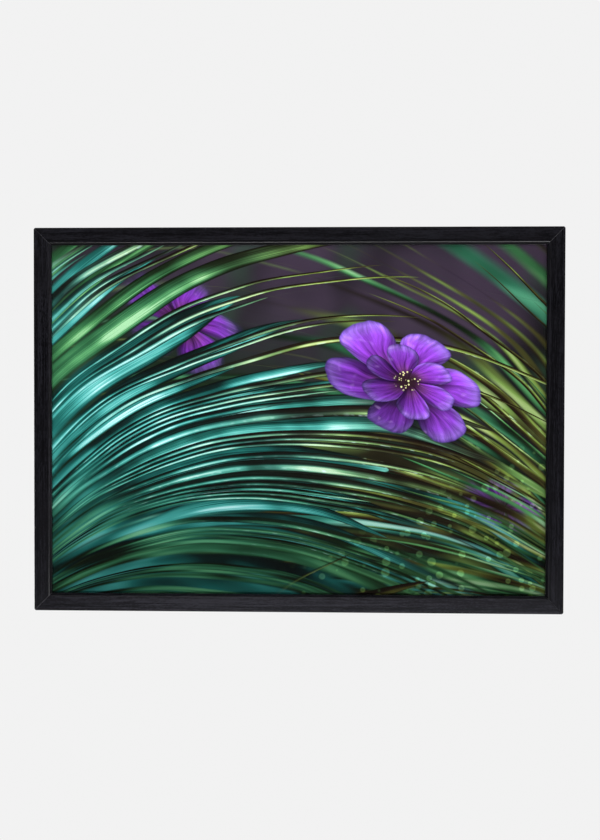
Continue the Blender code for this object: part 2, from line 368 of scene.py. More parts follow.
def bell(distance, width):
    """1 at distance 0, and less on both sides by a bell curve of that width."""
    return np.exp(-(distance / width) ** 2)


def circle(points):
    """The angles of that many points round a circle, as one row."""
    return np.linspace(0.0, 2 * math.pi, points, endpoint=False)[None, :]


def round_rings(radius, level, centre, points):
    """(ring, point, xyz) of circles round an axis along Y, one radius and one Y for each ring."""
    x = centre[0] + radius[:, None] * np.cos(circle(points))
    z = centre[2] + radius[:, None] * np.sin(circle(points))
    return np.stack([x, np.broadcast_to(level[:, None], x.shape), z], axis=-1)


LATTICE = 256


def lattice_noise(x, y, seed):
    """Random heights from -1 to 1 on whole-number places, eased between them."""
    table = np.random.default_rng(seed).uniform(-1.0, 1.0, (LATTICE, LATTICE))
    column = np.floor(x).astype(int)
    row = np.floor(y).astype(int)
    right = eased(x - column, 0.0, 1.0)
    up = eased(y - row, 0.0, 1.0)
    here, after = column % LATTICE, (column + 1) % LATTICE
    low, high = row % LATTICE, (row + 1) % LATTICE
    lower = table[here, low] * (1 - right) + table[after, low] * right
    upper = table[here, high] * (1 - right) + table[after, high] * right
    return lower * (1 - up) + upper * up


def soft_outline(corners, rounding, steps, turn_steps=5):
    """A closed outline: at each corner a quadratic curve that starts and ends its rounding away from
    the corner, and between two corners that number of even steps."""
    corners = np.array(corners, float)
    share = np.linspace(0.0, 1.0, turn_steps + 1)[:, None]
    parts = []
    for k, corner in enumerate(corners):
        ahead = corners[(k + 1) % len(corners)]
        behind = corners[k - 1]
        forward = (ahead - corner) / np.linalg.norm(ahead - corner)
        backward = (behind - corner) / np.linalg.norm(behind - corner)
        start = corner + backward * rounding[k]
        end = corner + forward * rounding[k]
        parts.append((1 - share) ** 2 * start + 2 * share * (1 - share) * corner + share ** 2 * end)
        reached = ahead - forward * rounding[(k + 1) % len(corners)]
        between = np.linspace(0.0, 1.0, steps[k] + 1)[1:-1, None]
        parts.append(end + (reached - end) * between)
    return np.concatenate(parts)


print("surface helpers ready")

# %% [markdown]
# ## The moulding's section
#
# All four rails are cut from one length of moulding: a flat face, a small slope down to the sight
# edge, a lip that covers the print's border, and a rebate behind it that holds the sheets. The
# knife leaves its edges a little round and the stain wears thin there; along the sight edge the grey
# of that wear is also a painted highlight. The section could be a curve object with a bevel, but an
# outline of our own says how many points lie on each flat, and so how fine the grain can be.

# %% Draw the section
FACE_WIDTH = 21.0 * MM
SLOPE = RAIL_WIDTH - FACE_WIDTH
LIP_TO_GLASS = 0.3 * MM
PLAY_ROUND_GLASS = 1.0 * MM
LIP_DEPTH = pane_low.y - FACE_Y - LIP_TO_GLASS
REBATE_WALL = HALF_WIDTH - pane_high.x - PLAY_ROUND_GLASS

section_corners = [
    (0.0, 0.0), (FACE_WIDTH, 0.0), (RAIL_WIDTH, SLOPE), (RAIL_WIDTH, LIP_DEPTH),
    (REBATE_WALL, LIP_DEPTH), (REBATE_WALL, RAIL_DEPTH), (0.0, RAIL_DEPTH),
]
section_rounding = [size * MM for size in (1.2, 0.7, 0.5, 0.3, 0.2, 0.3, 0.7)]
section_steps = [62, 12, 10, 8, 10, 28, 24]
section = soft_outline(section_corners, section_rounding, section_steps)
print("section of", len(section), "points,", RAIL_WIDTH / MM, "x", RAIL_DEPTH / MM, "mm")


# %% Measure the section: outward normals, distance round it, wear with its painted sight-edge highlight, and lacquer at each point
def outline_normals(outline):
    """The outward normal at each point of a closed outline: the step between its neighbours, turned
    a quarter, away from the side that the outline encloses."""
    step = np.roll(outline, -1, axis=0) - np.roll(outline, 1, axis=0)
    normal = np.stack([step[:, 1], -step[:, 0]], axis=1)
    normal /= np.linalg.norm(normal, axis=1, keepdims=True)
    after = np.roll(outline, -1, axis=0)
    area = np.sum(outline[:, 0] * after[:, 1] - after[:, 0] * outline[:, 1])
    return normal if area > 0 else -normal


def nearness(outline, places, reach):
    """1 at the named places and less with distance, by an exponential fall over the reach."""
    gaps = np.linalg.norm(outline[:, None, :] - np.array(places)[None, :, :], axis=2)
    return np.exp(-gaps.min(axis=1) / reach)


SIGHT_EDGE = (1,)               # corners of the section, counted from its outer front edge
OTHER_EDGES = (0, 2, 6)
OTHER_WEAR = 0.45
REBATE_MARGIN = 0.2 * MM
REBATE_GRAIN = 0.2              # the share of the ridges' height in the rebate

section_normal = outline_normals(section)
section_run = np.concatenate([[0.0], np.cumsum(np.linalg.norm(np.diff(section, axis=0), axis=1))])
# the sight edge's rubbed grey is wear and also a painted highlight along that edge
sight_wear_and_highlight = nearness(section, [section_corners[k] for k in SIGHT_EDGE], 0.6 * MM)
other_wear = OTHER_WEAR * nearness(section, [section_corners[k] for k in OTHER_EDGES], 0.7 * MM)
section_wear_and_highlight = np.maximum(sight_wear_and_highlight, other_wear)
faces_outwards = straight(-section_normal[:, 0], 0.3, 0.9)
faces_the_wall = straight(section_normal[:, 1], 0.0, 1.0)
section_lacquer = faces_outwards + faces_the_wall
in_rebate = (section[:, 0] > REBATE_WALL - REBATE_MARGIN) & (section[:, 1] > LIP_DEPTH - REBATE_MARGIN)
section_grain = np.where(in_rebate, REBATE_GRAIN, 1.0)
print("distance round the section", round(section_run[-1] / MM, 1), "mm")

# %% [markdown]
# ## Rails with mitred ends
#
# Planed wood isn't flat. The hard late growth stands a few hundredths of a millimetre proud of the
# soft, so long low ridges run the length of each rail, and it is these that catch light as streaks.
# A bump map could fake them all, but real ridges also break the line of a highlight on the edges.
# The rail is the section carried from mitre to mitre: a point's place along the rail is a share of
# the length that is left at its distance across, so the ends come out at 45 degrees by themselves.
# Then the surface is moved by the ridges, a hair's groove at the mitre, and the dents where the
# V-nails were pressed in.

# %% Choose the steps along a rail
FIRST_STEP = 0.10 * MM
STEP_GROWTH = 1.06
LONGEST_STEP = 2.6 * MM
MOST_STEPS = 400


def places_from_end(half_length):
    """Distances from the mitre: short steps there, each longer than the one before up to the longest,
    then stretched a little to reach the rail's middle."""
    growing = FIRST_STEP * STEP_GROWTH ** np.arange(MOST_STEPS)
    places = np.concatenate([[0.0], np.cumsum(np.minimum(growing, LONGEST_STEP))])
    places = places[places < half_length]
    return places * (half_length / places[-1])


def shares_along(half_length):
    """Shares from -1 at one end to 1 at the other."""
    inner = 1 - places_from_end(half_length) / half_length
    return np.concatenate([-inner, inner[::-1][1:]])


print("steps along a long rail:", len(shares_along(HALF_WIDTH)))

# %% Ridges, dents and the rounded corner
RIDGES = ((0.013, 1.0, 220.0), (0.007, 0.65, 80.0), (0.016, 4.5, 420.0))     # height, width, length in mm
LATTICE_START = 40.0
V_NAIL_BENDS = (5.0 * MM, 9.5 * MM)
V_NAIL_LEG = 5.0 * MM
V_NAIL_HALF = 0.25 * MM
CORNER_RADIUS = 3.0 * MM
NO_LENGTH = 1e-9                # stands in for a length of zero that something is divided by


def ridge_height(along, run, seed):
    """The sum of three noises, each drawn out along the rail."""
    total = np.zeros_like(along)
    for k, (height, width, length) in enumerate(RIDGES):
        place = along / (length * MM) + LATTICE_START
        total += height * MM * lattice_noise(place, run / (width * MM), seed + k)
    return total


def distance_to_v_nails(first, second):
    """The distance to the nearest leg of the V-nails. first and second are the distances from the
    corner's two outer edges; each leg is a straight line along one of them from the bend."""
    nearest = np.full(first.shape, np.inf)
    for bend in V_NAIL_BENDS:
        middle = bend + V_NAIL_HALF
        for level, reach in ((first, second), (second, first)):
            past = np.maximum(0.0, np.abs(reach - (bend + V_NAIL_LEG / 2)) - V_NAIL_LEG / 2)
            nearest = np.minimum(nearest, np.hypot(level - middle, past))
    return nearest


def round_the_corner(first, second):
    """Turns the square corner into a quarter disc: within a radius of both edges, a point keeps its
    direction from the arc's centre, and its larger offset becomes its distance."""
    away_first = CORNER_RADIUS - first
    away_second = CORNER_RADIUS - second
    larger = np.maximum(away_first, away_second)
    distance = np.maximum(np.hypot(away_first, away_second), NO_LENGTH)
    scale = np.where((away_first > 0) & (away_second > 0), larger / distance, 1.0)
    return CORNER_RADIUS - away_first * scale, CORNER_RADIUS - away_second * scale


DEEPEST = sum(height for height, width, length in RIDGES) * MM
print("ridges up to", round(DEEPEST / MM, 3), "mm, and the rail is set down by that, so none stands proud")

# %% Carry the section along a rail
SIDES = {"top": 0, "right": 1, "bottom": 2, "left": 3}     # quarter turns from the top rail
MITRE_TRIM = 0.02 * MM
GROOVE_DEPTH = 0.10 * MM
GROOVE_WIDTH = 0.25 * MM
DENT_DEPTH = 0.35 * MM
DENT_WIDTH = 0.55 * MM
DENT_FADE = 0.4 * MM            # how far in front of the back face a dent ends


def rail_rings(half_length, seed):
    """(ring, point, [along, across, deep]) of one rail."""
    share = shares_along(half_length)[:, None]
    across = np.broadcast_to(section[None, :, 0], (len(share), len(section)))
    deep = np.broadcast_to(section[None, :, 1], across.shape)
    run = np.broadcast_to(section_run[None, :], across.shape)
    along = share * (half_length - MITRE_TRIM - across)
    from_end = half_length - np.abs(along)
    groove = GROOVE_DEPTH * bell(from_end - across, GROOVE_WIDTH)
    dent = DENT_DEPTH * bell(distance_to_v_nails(from_end, across), DENT_WIDTH)
    on_back = straight(deep, RAIL_DEPTH - DENT_FADE, RAIL_DEPTH)
    sunk = ridge_height(along, run, seed) * section_grain[None, :] - groove - dent * on_back
    move = np.minimum(sunk - DEEPEST, 0.0)
    across = across + section_normal[None, :, 0] * move
    deep = deep + section_normal[None, :, 1] * move
    from_end, across = round_the_corner(from_end, across)
    along = np.sign(along) * (half_length - from_end)
    return np.stack([along, across, deep], axis=-1)


def set_in_frame(local, side, half_long, half_short):
    """Turns a rail's own distances into the picture's metres. At quarter turn 0 it is the top rail."""
    angle = SIDES[side] * math.pi / 2
    level = local[..., 0]
    height = half_short - local[..., 1]
    x = level * math.cos(angle) + height * math.sin(angle)
    z = height * math.cos(angle) - level * math.sin(angle) + MIDDLE_Z
    return np.stack([x, FACE_Y + local[..., 2], z], axis=-1)


print("rails run clockwise from the top:", ", ".join(SIDES))

# %% [markdown]
# ## Black stain on wood
#
# The rails are wood under a thin black stain and a satin lacquer. The stain hides the colour but not
# the grain: pores stay as fine dark strokes, hard growth shines a little more, and on the edges and
# mitres the black is rubbed thin to a dull grey. Along the sight edge that grey is also a painted
# highlight, strongest on the top rail. The lacquer was rubbed down on the face and lies thicker on the
# sides and the back. A scanned wood image would need four unwrapped rails. Noise that is drawn out
# along the rail, read in the wood's own three directions, runs over face, slope and side in one piece,
# as real grain does. Each rail has its own stretch of grain and gloss, and each mitre its own share of
# pale end grain. Each rail's colour is scaled by its depth of stain and by painted shade: lighter on
# the bottom rail and darker on the right one, as the light falls.


# %% Make the wood finish
STAIN_TONES = (
    (0.0, (0.0012, 0.0011, 0.0014)), (0.5, (0.0042, 0.0040, 0.0052)), (1.0, (0.0115, 0.0112, 0.0145)),
)
DULL_STAIN = (0.0050, 0.0046, 0.0054)
PORE_BLACK = (0.0014, 0.0013, 0.0015)
# grey of rubbed edges; along the sight edge it is also a painted highlight
RUBBED_GREY_AND_HIGHLIGHT = (0.018, 0.0175, 0.0185)
END_GRAIN = (0.046, 0.045, 0.049)


def stained_wood(name, level, shift, relief, stain, gloss):
    """Black-stained wood whose grain runs along X on a level rail and along Z on an upright one. The
    stain number multiplies its colour: the depth of stain together with painted shade, lighter or darker
    as the light falls on that rail. The relief is the height of its grain, the gloss its reflection."""
    material, tree, shader = new_finish(name)
    place = object_place(tree)
    x, y, z = split(tree, place)
    along, across = (x, z) if level else (z, x)
    along = add(tree, along, shift)

    def drawn_out(length, width, moved, detail=0.0):
        """Noise whose lumps are that long and that wide, in millimetres."""
        stretched = join(
            tree,
            times(tree, along, 1000.0 / length),
            times(tree, add(tree, across, moved), 1000.0 / width),
            times(tree, y, 1000.0 / width),
        )
        return noise(tree, stretched, 1.0, detail, 0.6)

    growth = drawn_out(420.0, 7.0, 0.0, 1.0)
    streak = drawn_out(110.0, 1.3, 0.17)
    fibre = drawn_out(22.0, 1.2, 0.31)
    fleck = drawn_out(3.8, 1.4, 0.53, 2.0)
    pore = spread(tree, drawn_out(14.0, 0.24, 0.71, 1.0), 0.60, 0.72)
    cloud = noise(tree, place, 26.0, 2.0)

    tone = weighted(tree, (streak, 0.20), (fibre, 0.30), (fleck, 0.50))
    tone = weighted(tree, (tone, 0.75), (growth, 0.25))
    # the stain tones, scaled by the rail's depth of stain and painted shade
    tones = [(step, tuple(part * stain for part in dye)) for step, dye in STAIN_TONES]
    colour = ramp(tree, spread(tree, tone, 0.40, 0.60), tones)
    colour = blend(tree, spread(tree, cloud, 0.35, 0.75, 0.0, 0.3), colour, DULL_STAIN)
    colour = blend(tree, times(tree, pore, 0.7), colour, PORE_BLACK)

    # edges rubbed grey: wear, and along the sight edge a painted highlight, strongest on the top rail
    worn = attribute(tree, "worn")
    chafe = drawn_out(6.0, 1.2, 0.77, 3.0)
    rubbed_and_highlit = times(tree, worn, spread(tree, chafe, 0.38, 0.66, 0.12, 0.95))
    colour = blend(tree, times(tree, rubbed_and_highlit, 0.55), colour, RUBBED_GREY_AND_HIGHLIGHT)
    broken = spread(tree, noise(tree, place, 700.0, 2.0), 0.30, 0.62, 0.35, 1.0)
    colour = blend(tree, times(tree, attribute(tree, "mitre"), broken), colour, END_GRAIN)

    height = weighted(tree, (streak, 0.8), (fibre, 0.35), (fleck, 0.12), (pore, -0.15))
    roughness = spread(tree, tone, 0.40, 0.60, 0.33, 0.27)
    set_finish(tree, shader, colour, roughness, bump(tree, height, relief))
    coat = weighted(tree, (worn, 0.9), (attribute(tree, "lacquer"), 0.35))
    feed(tree, shader.inputs["Coat Weight"], coat)
    shader.inputs["Coat Roughness"].default_value = 0.20
    shader.inputs["Specular IOR Level"].default_value = gloss
    shader.inputs["Specular Tint"].default_value = (0.86, 0.87, 1.0, 1.0)
    return material


# Per rail: shift of the grain, relief, a colour scale that is the depth of stain and painted shade (the
# bottom rail lighter and the right one darker, as the light falls), and gloss.
RAIL_LOOKS = {
    "top": {"shift": 1.3, "relief": 0.08 * MM, "stain": 0.80, "gloss": 0.032},
    "right": {"shift": 2.9, "relief": 0.03 * MM, "stain": 0.75, "gloss": 0.029},
    "bottom": {"shift": 4.1, "relief": 0.065 * MM, "stain": 1.1, "gloss": 0.042},
    "left": {"shift": 5.7, "relief": 0.06 * MM, "stain": 0.85, "gloss": 0.050},
}
wood = {}
for side, turn in SIDES.items():
    wood[side] = stained_wood("black stain, " + side, turn % 2 == 0, **RAIL_LOOKS[side])
print("wood finishes:", len(wood))


# %% Make the four rails
# how much each rail's edges are rubbed grey: wear, and along the sight edge a painted highlight, made
# strongest on the top rail where the light catches it
WEAR_AND_HIGHLIGHT = {"top": 1.0, "right": 0.3, "bottom": 0.3, "left": 0.6}
PALE_MITRE = {"top": 1.25, "right": 0.30, "bottom": 1.2, "left": 0.80}     # at each side's clockwise end
MITRE_LINE = 0.38 * MM
RIDGE_SEED = 3
SEEDS_PER_RAIL = 10


def store(mesh, name, values):
    """Writes one number for each point as a named attribute."""
    attribute = mesh.attributes.new(name, "FLOAT", "POINT")
    attribute.data.foreach_set("value", values.astype(np.float32).ravel())


def make_rail(side):
    """One rail in place, with its worn edges and painted sight-edge highlight, its lacquered sides and its
    mitre lines as attributes.
    """
    level = SIDES[side] % 2 == 0
    half_long, half_short = (HALF_WIDTH, HALF_HEIGHT) if level else (HALF_HEIGHT, HALF_WIDTH)
    local = rail_rings(half_long, SEEDS_PER_RAIL * SIDES[side] + RIDGE_SEED)
    rail = carried("moulding_" + side, set_in_frame(local, side, half_long, half_short), wood[side])
    from_mitre = half_long - np.abs(local[..., 0]) - local[..., 1]
    side_before = list(SIDES)[SIDES[side] - 1]
    pale = np.where(local[..., 0] > 0, PALE_MITRE[side], PALE_MITRE[side_before])
    store(rail.data, "worn", np.broadcast_to(WEAR_AND_HIGHLIGHT[side] * section_wear_and_highlight[None, :], local.shape[:2]))
    store(rail.data, "lacquer", np.broadcast_to(section_lacquer[None, :], local.shape[:2]))
    store(rail.data, "mitre", pale * bell(from_mitre, MITRE_LINE))
    stand_in(rail, "rail_" + side)
    return rail


rails = [make_rail(side) for side in SIDES]
print("rails:", [len(rail.data.polygons) for rail in rails], "faces")

# %% [markdown]
# ## Thin sheets
#
# The glass, the print and the board are flat sheets that lie on each other in the rebate. A scaled
# cube has razor edges and no points inside. A sheet here is a thin outline carried upwards: it gets
# thinner over the last fraction of a millimetre at all four sides, as a seamed, cut or sawn edge
# does, and it may wave by less than the gap to its neighbour.


# %% Helper for a thin sheet
JUST_INSIDE = 1.4               # in widths of the eased edge


def edge_steps(low, high, step, ease, ease_steps=4):
    """Places from low to high in even steps, with a few short ones over the eased edge at both ends, and
    one just inside it, so that the smooth shading of the edge ends there."""
    inner = np.linspace(low + ease, high - ease, max(2, int(round((high - low) / step))) + 1)
    short = np.linspace(0.0, ease, ease_steps + 1)[:-1]
    inside = JUST_INSIDE * ease
    return np.concatenate([low + short, inner[:1], [low + inside], inner[1:-1], [high - inside], inner[-1:],
                           high - short[::-1]])


def sheet_rings(node, step, ease, rim_share, wave=None):
    """(ring, point, xyz) of a sheet that fills the node's box. Its thickness at the rim is that share
    of the whole, and rises to it over the ease as a quarter of an ellipse."""
    low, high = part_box(node)
    x = edge_steps(low.x, high.x, step, ease)
    z = edge_steps(low.z, high.z, step, ease)
    across = np.concatenate([x, x[::-1]])[None, :]
    front = np.concatenate([-np.ones_like(x), np.ones_like(x)])[None, :]
    height = z[:, None]
    from_upright = np.minimum(across - low.x, high.x - across)
    from_level = np.minimum(height - low.z, high.z - height)
    share = straight(np.minimum(from_upright, from_level), 0.0, ease)
    thickness = rim_share + (1 - rim_share) * np.sqrt(1 - (1 - share) ** 2)
    y = (low.y + high.y) / 2 + front * (high.y - low.y) / 2 * thickness
    if wave is not None:
        y = y + wave(across, height)
    across, height = np.broadcast_arrays(across, height)
    return np.stack([across, y, height], axis=-1)


print("sheets: glass, print, board")

# %% [markdown]
# ## Glass
#
# The pane is clear float glass, 2 mm thick. It shows in two ways only: the print keeps its colours
# behind it, and each face gives back a few hundredths of the light in front, more at a slant. A
# refracting glass shader would also bend and darken the light that reaches the print. A Fresnel mix
# of a see-through and a mirror shader lets light and shadow pass and keeps the true reflection. It
# mirrors only where a ray enters, because a ray that leaves was never bent, and the Fresnel node
# would take its slant for one that glass holds back.

# %% Make the glass
glass = bpy.data.materials.new("clear glass")
glass.use_nodes = True
tree = glass.node_tree
tree.nodes.clear()
clear = tree.nodes.new("ShaderNodeBsdfTransparent")
clear.inputs["Color"].default_value = (0.985, 0.992, 0.988, 1.0)
mirror = tree.nodes.new("ShaderNodeBsdfGlossy")
mirror.inputs["Color"].default_value = (1.0, 1.0, 1.0, 1.0)
smear = noise(tree, object_place(tree), 9.0, 4.0, 0.6)
feed(tree, mirror.inputs["Roughness"], spread(tree, smear, 0.45, 0.8, 0.012, 0.055))
fresnel = tree.nodes.new("ShaderNodeFresnel")
fresnel.inputs["IOR"].default_value = 1.5
leaving = tree.nodes.new("ShaderNodeNewGeometry").outputs["Backfacing"]
reflected = times(tree, fresnel.outputs[0], subtract(tree, 1.0, leaving))
output = tree.nodes.new("ShaderNodeOutputMaterial")
feed(tree, output.inputs["Surface"], mix_shaders(tree, reflected, clear, mirror))

rings = sheet_rings("glazing", step=25.0 * MM, ease=0.4 * MM, rim_share=0.6)
pane = carried("glass_pane", rings, glass)
stand_in(pane, "glazing")
print("glass pane:", len(pane.data.polygons), "faces")

# %% [markdown]
# ## The print: a fan of leaf blades
#
# The sheet is printed to its edges with a close-up of plants: long blades that sweep up from the
# lower left in teal, emerald and olive, a dusky ground, and violet blossoms. A photograph could be
# pasted on, but nothing here may come from an image, and a printed picture is only colour, so it
# needs no relief. It is drawn with formulas instead. A fan of blades is a polar pattern: the angle
# round a hub, bent more the further out it is, picks the blade, and the rest of that angle is the
# place across it. A node group holds each motif once, and every layer of the picture uses it with
# its own numbers.


# %% Helpers for node groups
def new_group(name, inputs, outputs):
    """An empty node group with named inputs and outputs, and the sockets to read and to fill."""
    group = bpy.data.node_groups.new(name, "ShaderNodeTree")
    for label, kind, value in inputs:
        socket = group.interface.new_socket(label, in_out="INPUT", socket_type="NodeSocket" + kind)
        if value is not None:
            socket.default_value = value
    for label, kind in outputs:
        group.interface.new_socket(label, in_out="OUTPUT", socket_type="NodeSocket" + kind)
    given = group.nodes.new("NodeGroupInput").outputs
    result = group.nodes.new("NodeGroupOutput").inputs
    return group, given, result


def use(tree, group, **values):
    """Places the group in a tree, plugs the named values in, and returns its outputs."""
    node = tree.nodes.new("ShaderNodeGroup")
    node.node_tree = group
    for label, value in values.items():
        feed(tree, node.inputs[label], value)
    return node.outputs


def random_of(tree, index, seed):
    """A random number from 0 to 1, the same for the same index and seed."""
    node = tree.nodes.new("ShaderNodeTexWhiteNoise")
    node.noise_dimensions = "2D"
    feed(tree, node.inputs["Vector"], join(tree, index, seed))
    return node.outputs["Value"]


def vector_calc(tree, operation, *values):
    """One step of arithmetic on vectors."""
    node = tree.nodes.new("ShaderNodeVectorMath")
    node.operation = operation
    for socket, value in zip(node.inputs, values):
        feed(tree, socket, value)
    return node.outputs["Value"] if operation == "LENGTH" else node.outputs["Vector"]


def scaled(tree, colour, factor):
    """The colour times one number."""
    return vector_calc(tree, "MULTIPLY", colour, join(tree, factor, factor, factor))


def off_middle(tree, across):
    """0 in the middle of a strip on which across runs from 0 to 1, and 1 at its sides."""
    return times(tree, calc(tree, "ABSOLUTE", subtract(tree, across, 0.5)), 2.0)


print("group helpers ready")


# %% The fan of blades as a node group
def make_fan():
    """Blades that leave a hub. Shade is light on a blade, Glint its thin highlight, Chance a number of
    its own, Mask where a blade covers what is behind, Radius the distance from the hub."""
    g, given, result = new_group("fan of blades", [
        ("Point", "Vector", None), ("Hub", "Vector", (0.0, 0.0, 0.0)), ("Bend", "Float", 0.0),
        ("Blades", "Float", 20.0), ("Reach", "Float", 0.5), ("Split", "Float", 0.55),
        ("Wander", "Float", 0.12), ("Seed", "Float", 0.0), ("Blur", "Float", 0.0), ("Density", "Float", 1.0),
        ("Veins", "Float", 8.0), ("Fold", "Float", 0.10),
    ], [("Shade", "Float"), ("Glint", "Float"), ("Chance", "Float"), ("Mask", "Float"), ("Radius", "Float")])
    seed = given["Seed"]
    blur = given["Blur"]
    away = vector_calc(g, "SUBTRACT", given["Point"], given["Hub"])
    radius = vector_calc(g, "LENGTH", away)
    x, _, z = split(g, away)
    angle = add(g, calc(g, "ARCTAN2", z, x), times(g, radius, given["Bend"]))
    waver = noise(g, join(g, times(g, angle, 1.6), times(g, radius, 3.0), seed), 1.3, 1.0)
    angle = add(g, angle, times(g, subtract(g, waver, 0.5), given["Wander"]))

    # a slow ripple makes some blades wider than others, and never turns back
    track = times(g, angle, given["Blades"])
    track = add(g, track, times(g, calc(g, "SINE", times(g, track, 0.9)), 0.55))
    index = calc(g, "FLOOR", track)
    across = calc(g, "FRACT", track)
    chance = random_of(g, index, seed)
    second = random_of(g, index, add(g, seed, 7.3))

    # the outline: full width from the root to where it splits, then narrowing to a tip
    side = off_middle(g, across)
    tip = times(g, given["Reach"], spread(g, chance, 0.0, 1.0, 0.6, 1.1, eased=False))
    root = times(g, given["Reach"], given["Split"])
    width = calc(g, "POWER", spread(g, radius, root, tip, 1.0, 0.0, eased=False), 0.65)
    softness = add(g, 0.05, blur)
    inside = subtract(g, width, side)
    mask = spread(g, inside, times(g, softness, -0.35), times(g, softness, 0.75))
    mask = times(g, mask, calc(g, "LESS_THAN", second, given["Density"]))

    # in focus: one lit flank, a dark gap, fine fibres and a tone that changes along the blade
    relative = calc(g, "DIVIDE", side, add(g, width, 0.03))
    flank = calc(g, "SINE", times(g, add(g, across, 0.02), 2 * math.pi))
    flank = spread(g, flank, -0.95, 1.0, given["Fold"], 0.62)
    gap = spread(g, relative, 0.5, 1.0, 1.0, 0.08)
    fibre = noise(g, join(g, times(g, track, given["Veins"]), times(g, radius, 6.0), seed), 1.0, 2.0, 0.6)
    tone = noise(g, join(g, times(g, index, 0.61), times(g, radius, 11.0), seed), 1.0, 2.0)
    sharp = times(
        g, flank, gap,
        spread(g, fibre, 0.25, 0.75, 0.45, 1.5, eased=False),
        spread(g, tone, 0.3, 0.75, 0.35, 1.45),
        spread(g, second, 0.0, 1.0, 0.7, 1.15, eased=False),
    )

    # out of focus: only slow streaks along the blades stay
    streak = noise(g, join(g, times(g, track, 0.55), times(g, radius, 7.0), add(g, seed, 3.0)), 1.0, 1.0)
    faint = noise(g, join(g, times(g, track, 1.7), times(g, radius, 9.0), add(g, seed, 5.0)), 1.0, 0.0)
    soft = times(g, spread(g, streak, 0.3, 0.7, 0.05, 0.55), spread(g, faint, 0.3, 0.7, 0.75, 1.25))
    focus = spread(g, blur, 0.0, 0.7, 1.0, 0.0)
    shade = add(g, times(g, sharp, focus), times(g, soft, subtract(g, 1.0, focus)))

    from_ridge = subtract(g, across, 0.27)
    ridge = calc(g, "EXPONENT", times(g, from_ridge, from_ridge, -260.0))
    sparkle = noise(g, join(g, times(g, track, 3.0), times(g, radius, 90.0), seed), 1.0, 1.0)
    glint = times(g, ridge, spread(g, sparkle, 0.5, 0.72), focus, spread(g, tone, 0.4, 0.7, 0.1, 1.0))
    found = {"Shade": shade, "Glint": glint, "Chance": chance, "Mask": mask, "Radius": radius}
    for label, value in found.items():
        feed(g, result[label], value)
    return g


fan_group = make_fan()
print("fan of blades:", len(fan_group.nodes), "nodes")


# %% The blossom as a node group
def make_blossom():
    """An open flower seen at a slant: round its middle the angle picks a petal, and the petal's outline
    is how far it reaches at that angle. Squash leans the flower back, Soft blurs its edge."""
    g, given, result = new_group("blossom", [
        ("Point", "Vector", None), ("Middle", "Vector", (0.0, 0.0, 0.0)), ("Radius", "Float", 0.1),
        ("Petals", "Float", 6.0), ("Turn", "Float", 0.0), ("Squash", "Float", 1.2), ("Soft", "Float", 0.02),
        ("Seed", "Float", 0.0),
    ], [("Colour", "Color"), ("Mask", "Float")])
    seed = given["Seed"]
    petals = given["Petals"]
    x, _, z = split(g, vector_calc(g, "SUBTRACT", given["Point"], given["Middle"]))
    lean = add(g, z, times(g, x, 0.25))
    flat = join(g, x, 0.0, times(g, lean, given["Squash"]))
    flat_x, _, flat_z = split(g, flat)
    radius = calc(g, "DIVIDE", vector_calc(g, "LENGTH", flat), given["Radius"])

    # the angle, counted in petals, closes on itself; a swirl makes the petals overlap like a fan
    angle = add(g, calc(g, "ARCTAN2", flat_z, flat_x), add(g, given["Turn"], 2 * math.pi))
    wave = noise(g, join(g, flat_x, flat_z, seed), 16.0, 1.0)
    swirl = add(g, times(g, subtract(g, wave, 0.5), 0.4), times(g, radius, 0.18))
    track = add(g, times(g, angle, calc(g, "DIVIDE", petals, 2 * math.pi)), add(g, swirl, petals))
    track = calc(g, "MODULO", track, petals)
    index = calc(g, "FLOOR", track)
    across = calc(g, "FRACT", track)
    chance = random_of(g, index, seed)

    side = off_middle(g, across)
    ruffle = noise(g, join(g, times(g, track, 3.0), seed), 1.0, 2.0)
    longest = spread(g, chance, 0.0, 1.0, 0.82, 1.02, eased=False)
    outline = subtract(g, longest, times(g, calc(g, "POWER", side, 3.0), 0.42))
    outline = add(g, outline, times(g, subtract(g, ruffle, 0.5), 0.10))
    mask = spread(g, subtract(g, outline, radius), times(g, given["Soft"], -0.3), given["Soft"])

    relative = calc(g, "DIVIDE", radius, outline)
    vein = noise(g, join(g, times(g, track, 11.0), times(g, radius, 1.6), seed), 1.0, 3.0, 0.65)
    petal = ramp(g, relative, [
        (0.0, (0.008, 0.002, 0.010)), (0.16, (0.05, 0.010, 0.05)), (0.34, (0.15, 0.035, 0.20)),
        (0.55, (0.21, 0.035, 0.44)), (0.78, (0.27, 0.060, 0.62)), (0.93, (0.30, 0.14, 0.66)),
        (1.0, (0.10, 0.05, 0.30)),
    ])
    rib = spread(g, side, 0.0, 0.16, 0.62, 1.0)
    crease = spread(g, calc(g, "SINE", times(g, across, 9 * math.pi)), -1.0, 1.0, 0.80, 1.12)
    facing = add(g, times(g, track, calc(g, "DIVIDE", 2 * math.pi, petals)), 0.4)
    lit = spread(g, calc(g, "SINE", facing), -1.0, 1.0, 0.45, 1.2)
    shade = times(
        g, spread(g, vein, 0.3, 0.7, 0.35, 1.4, eased=False), spread(g, across, 0.0, 0.42, 0.10, 1.0),
        spread(g, across, 0.72, 1.0, 1.0, 0.6), spread(g, chance, 0.0, 1.0, 0.7, 1.1), rib, crease, lit,
    )
    colour = scaled(g, petal, shade)
    shine = noise(g, join(g, times(g, flat_x, 60.0), times(g, flat_z, 60.0), seed), 1.0, 1.0)
    shine = times(g, spread(g, shine, 0.62, 0.78), spread(g, relative, 0.5, 0.8), 0.15)
    feed(g, result["Colour"], blend(g, shine, colour, (0.75, 0.45, 0.95)))
    feed(g, result["Mask"], mask)
    return g


blossom_group = make_blossom()
print("blossom:", len(blossom_group.nodes), "nodes")


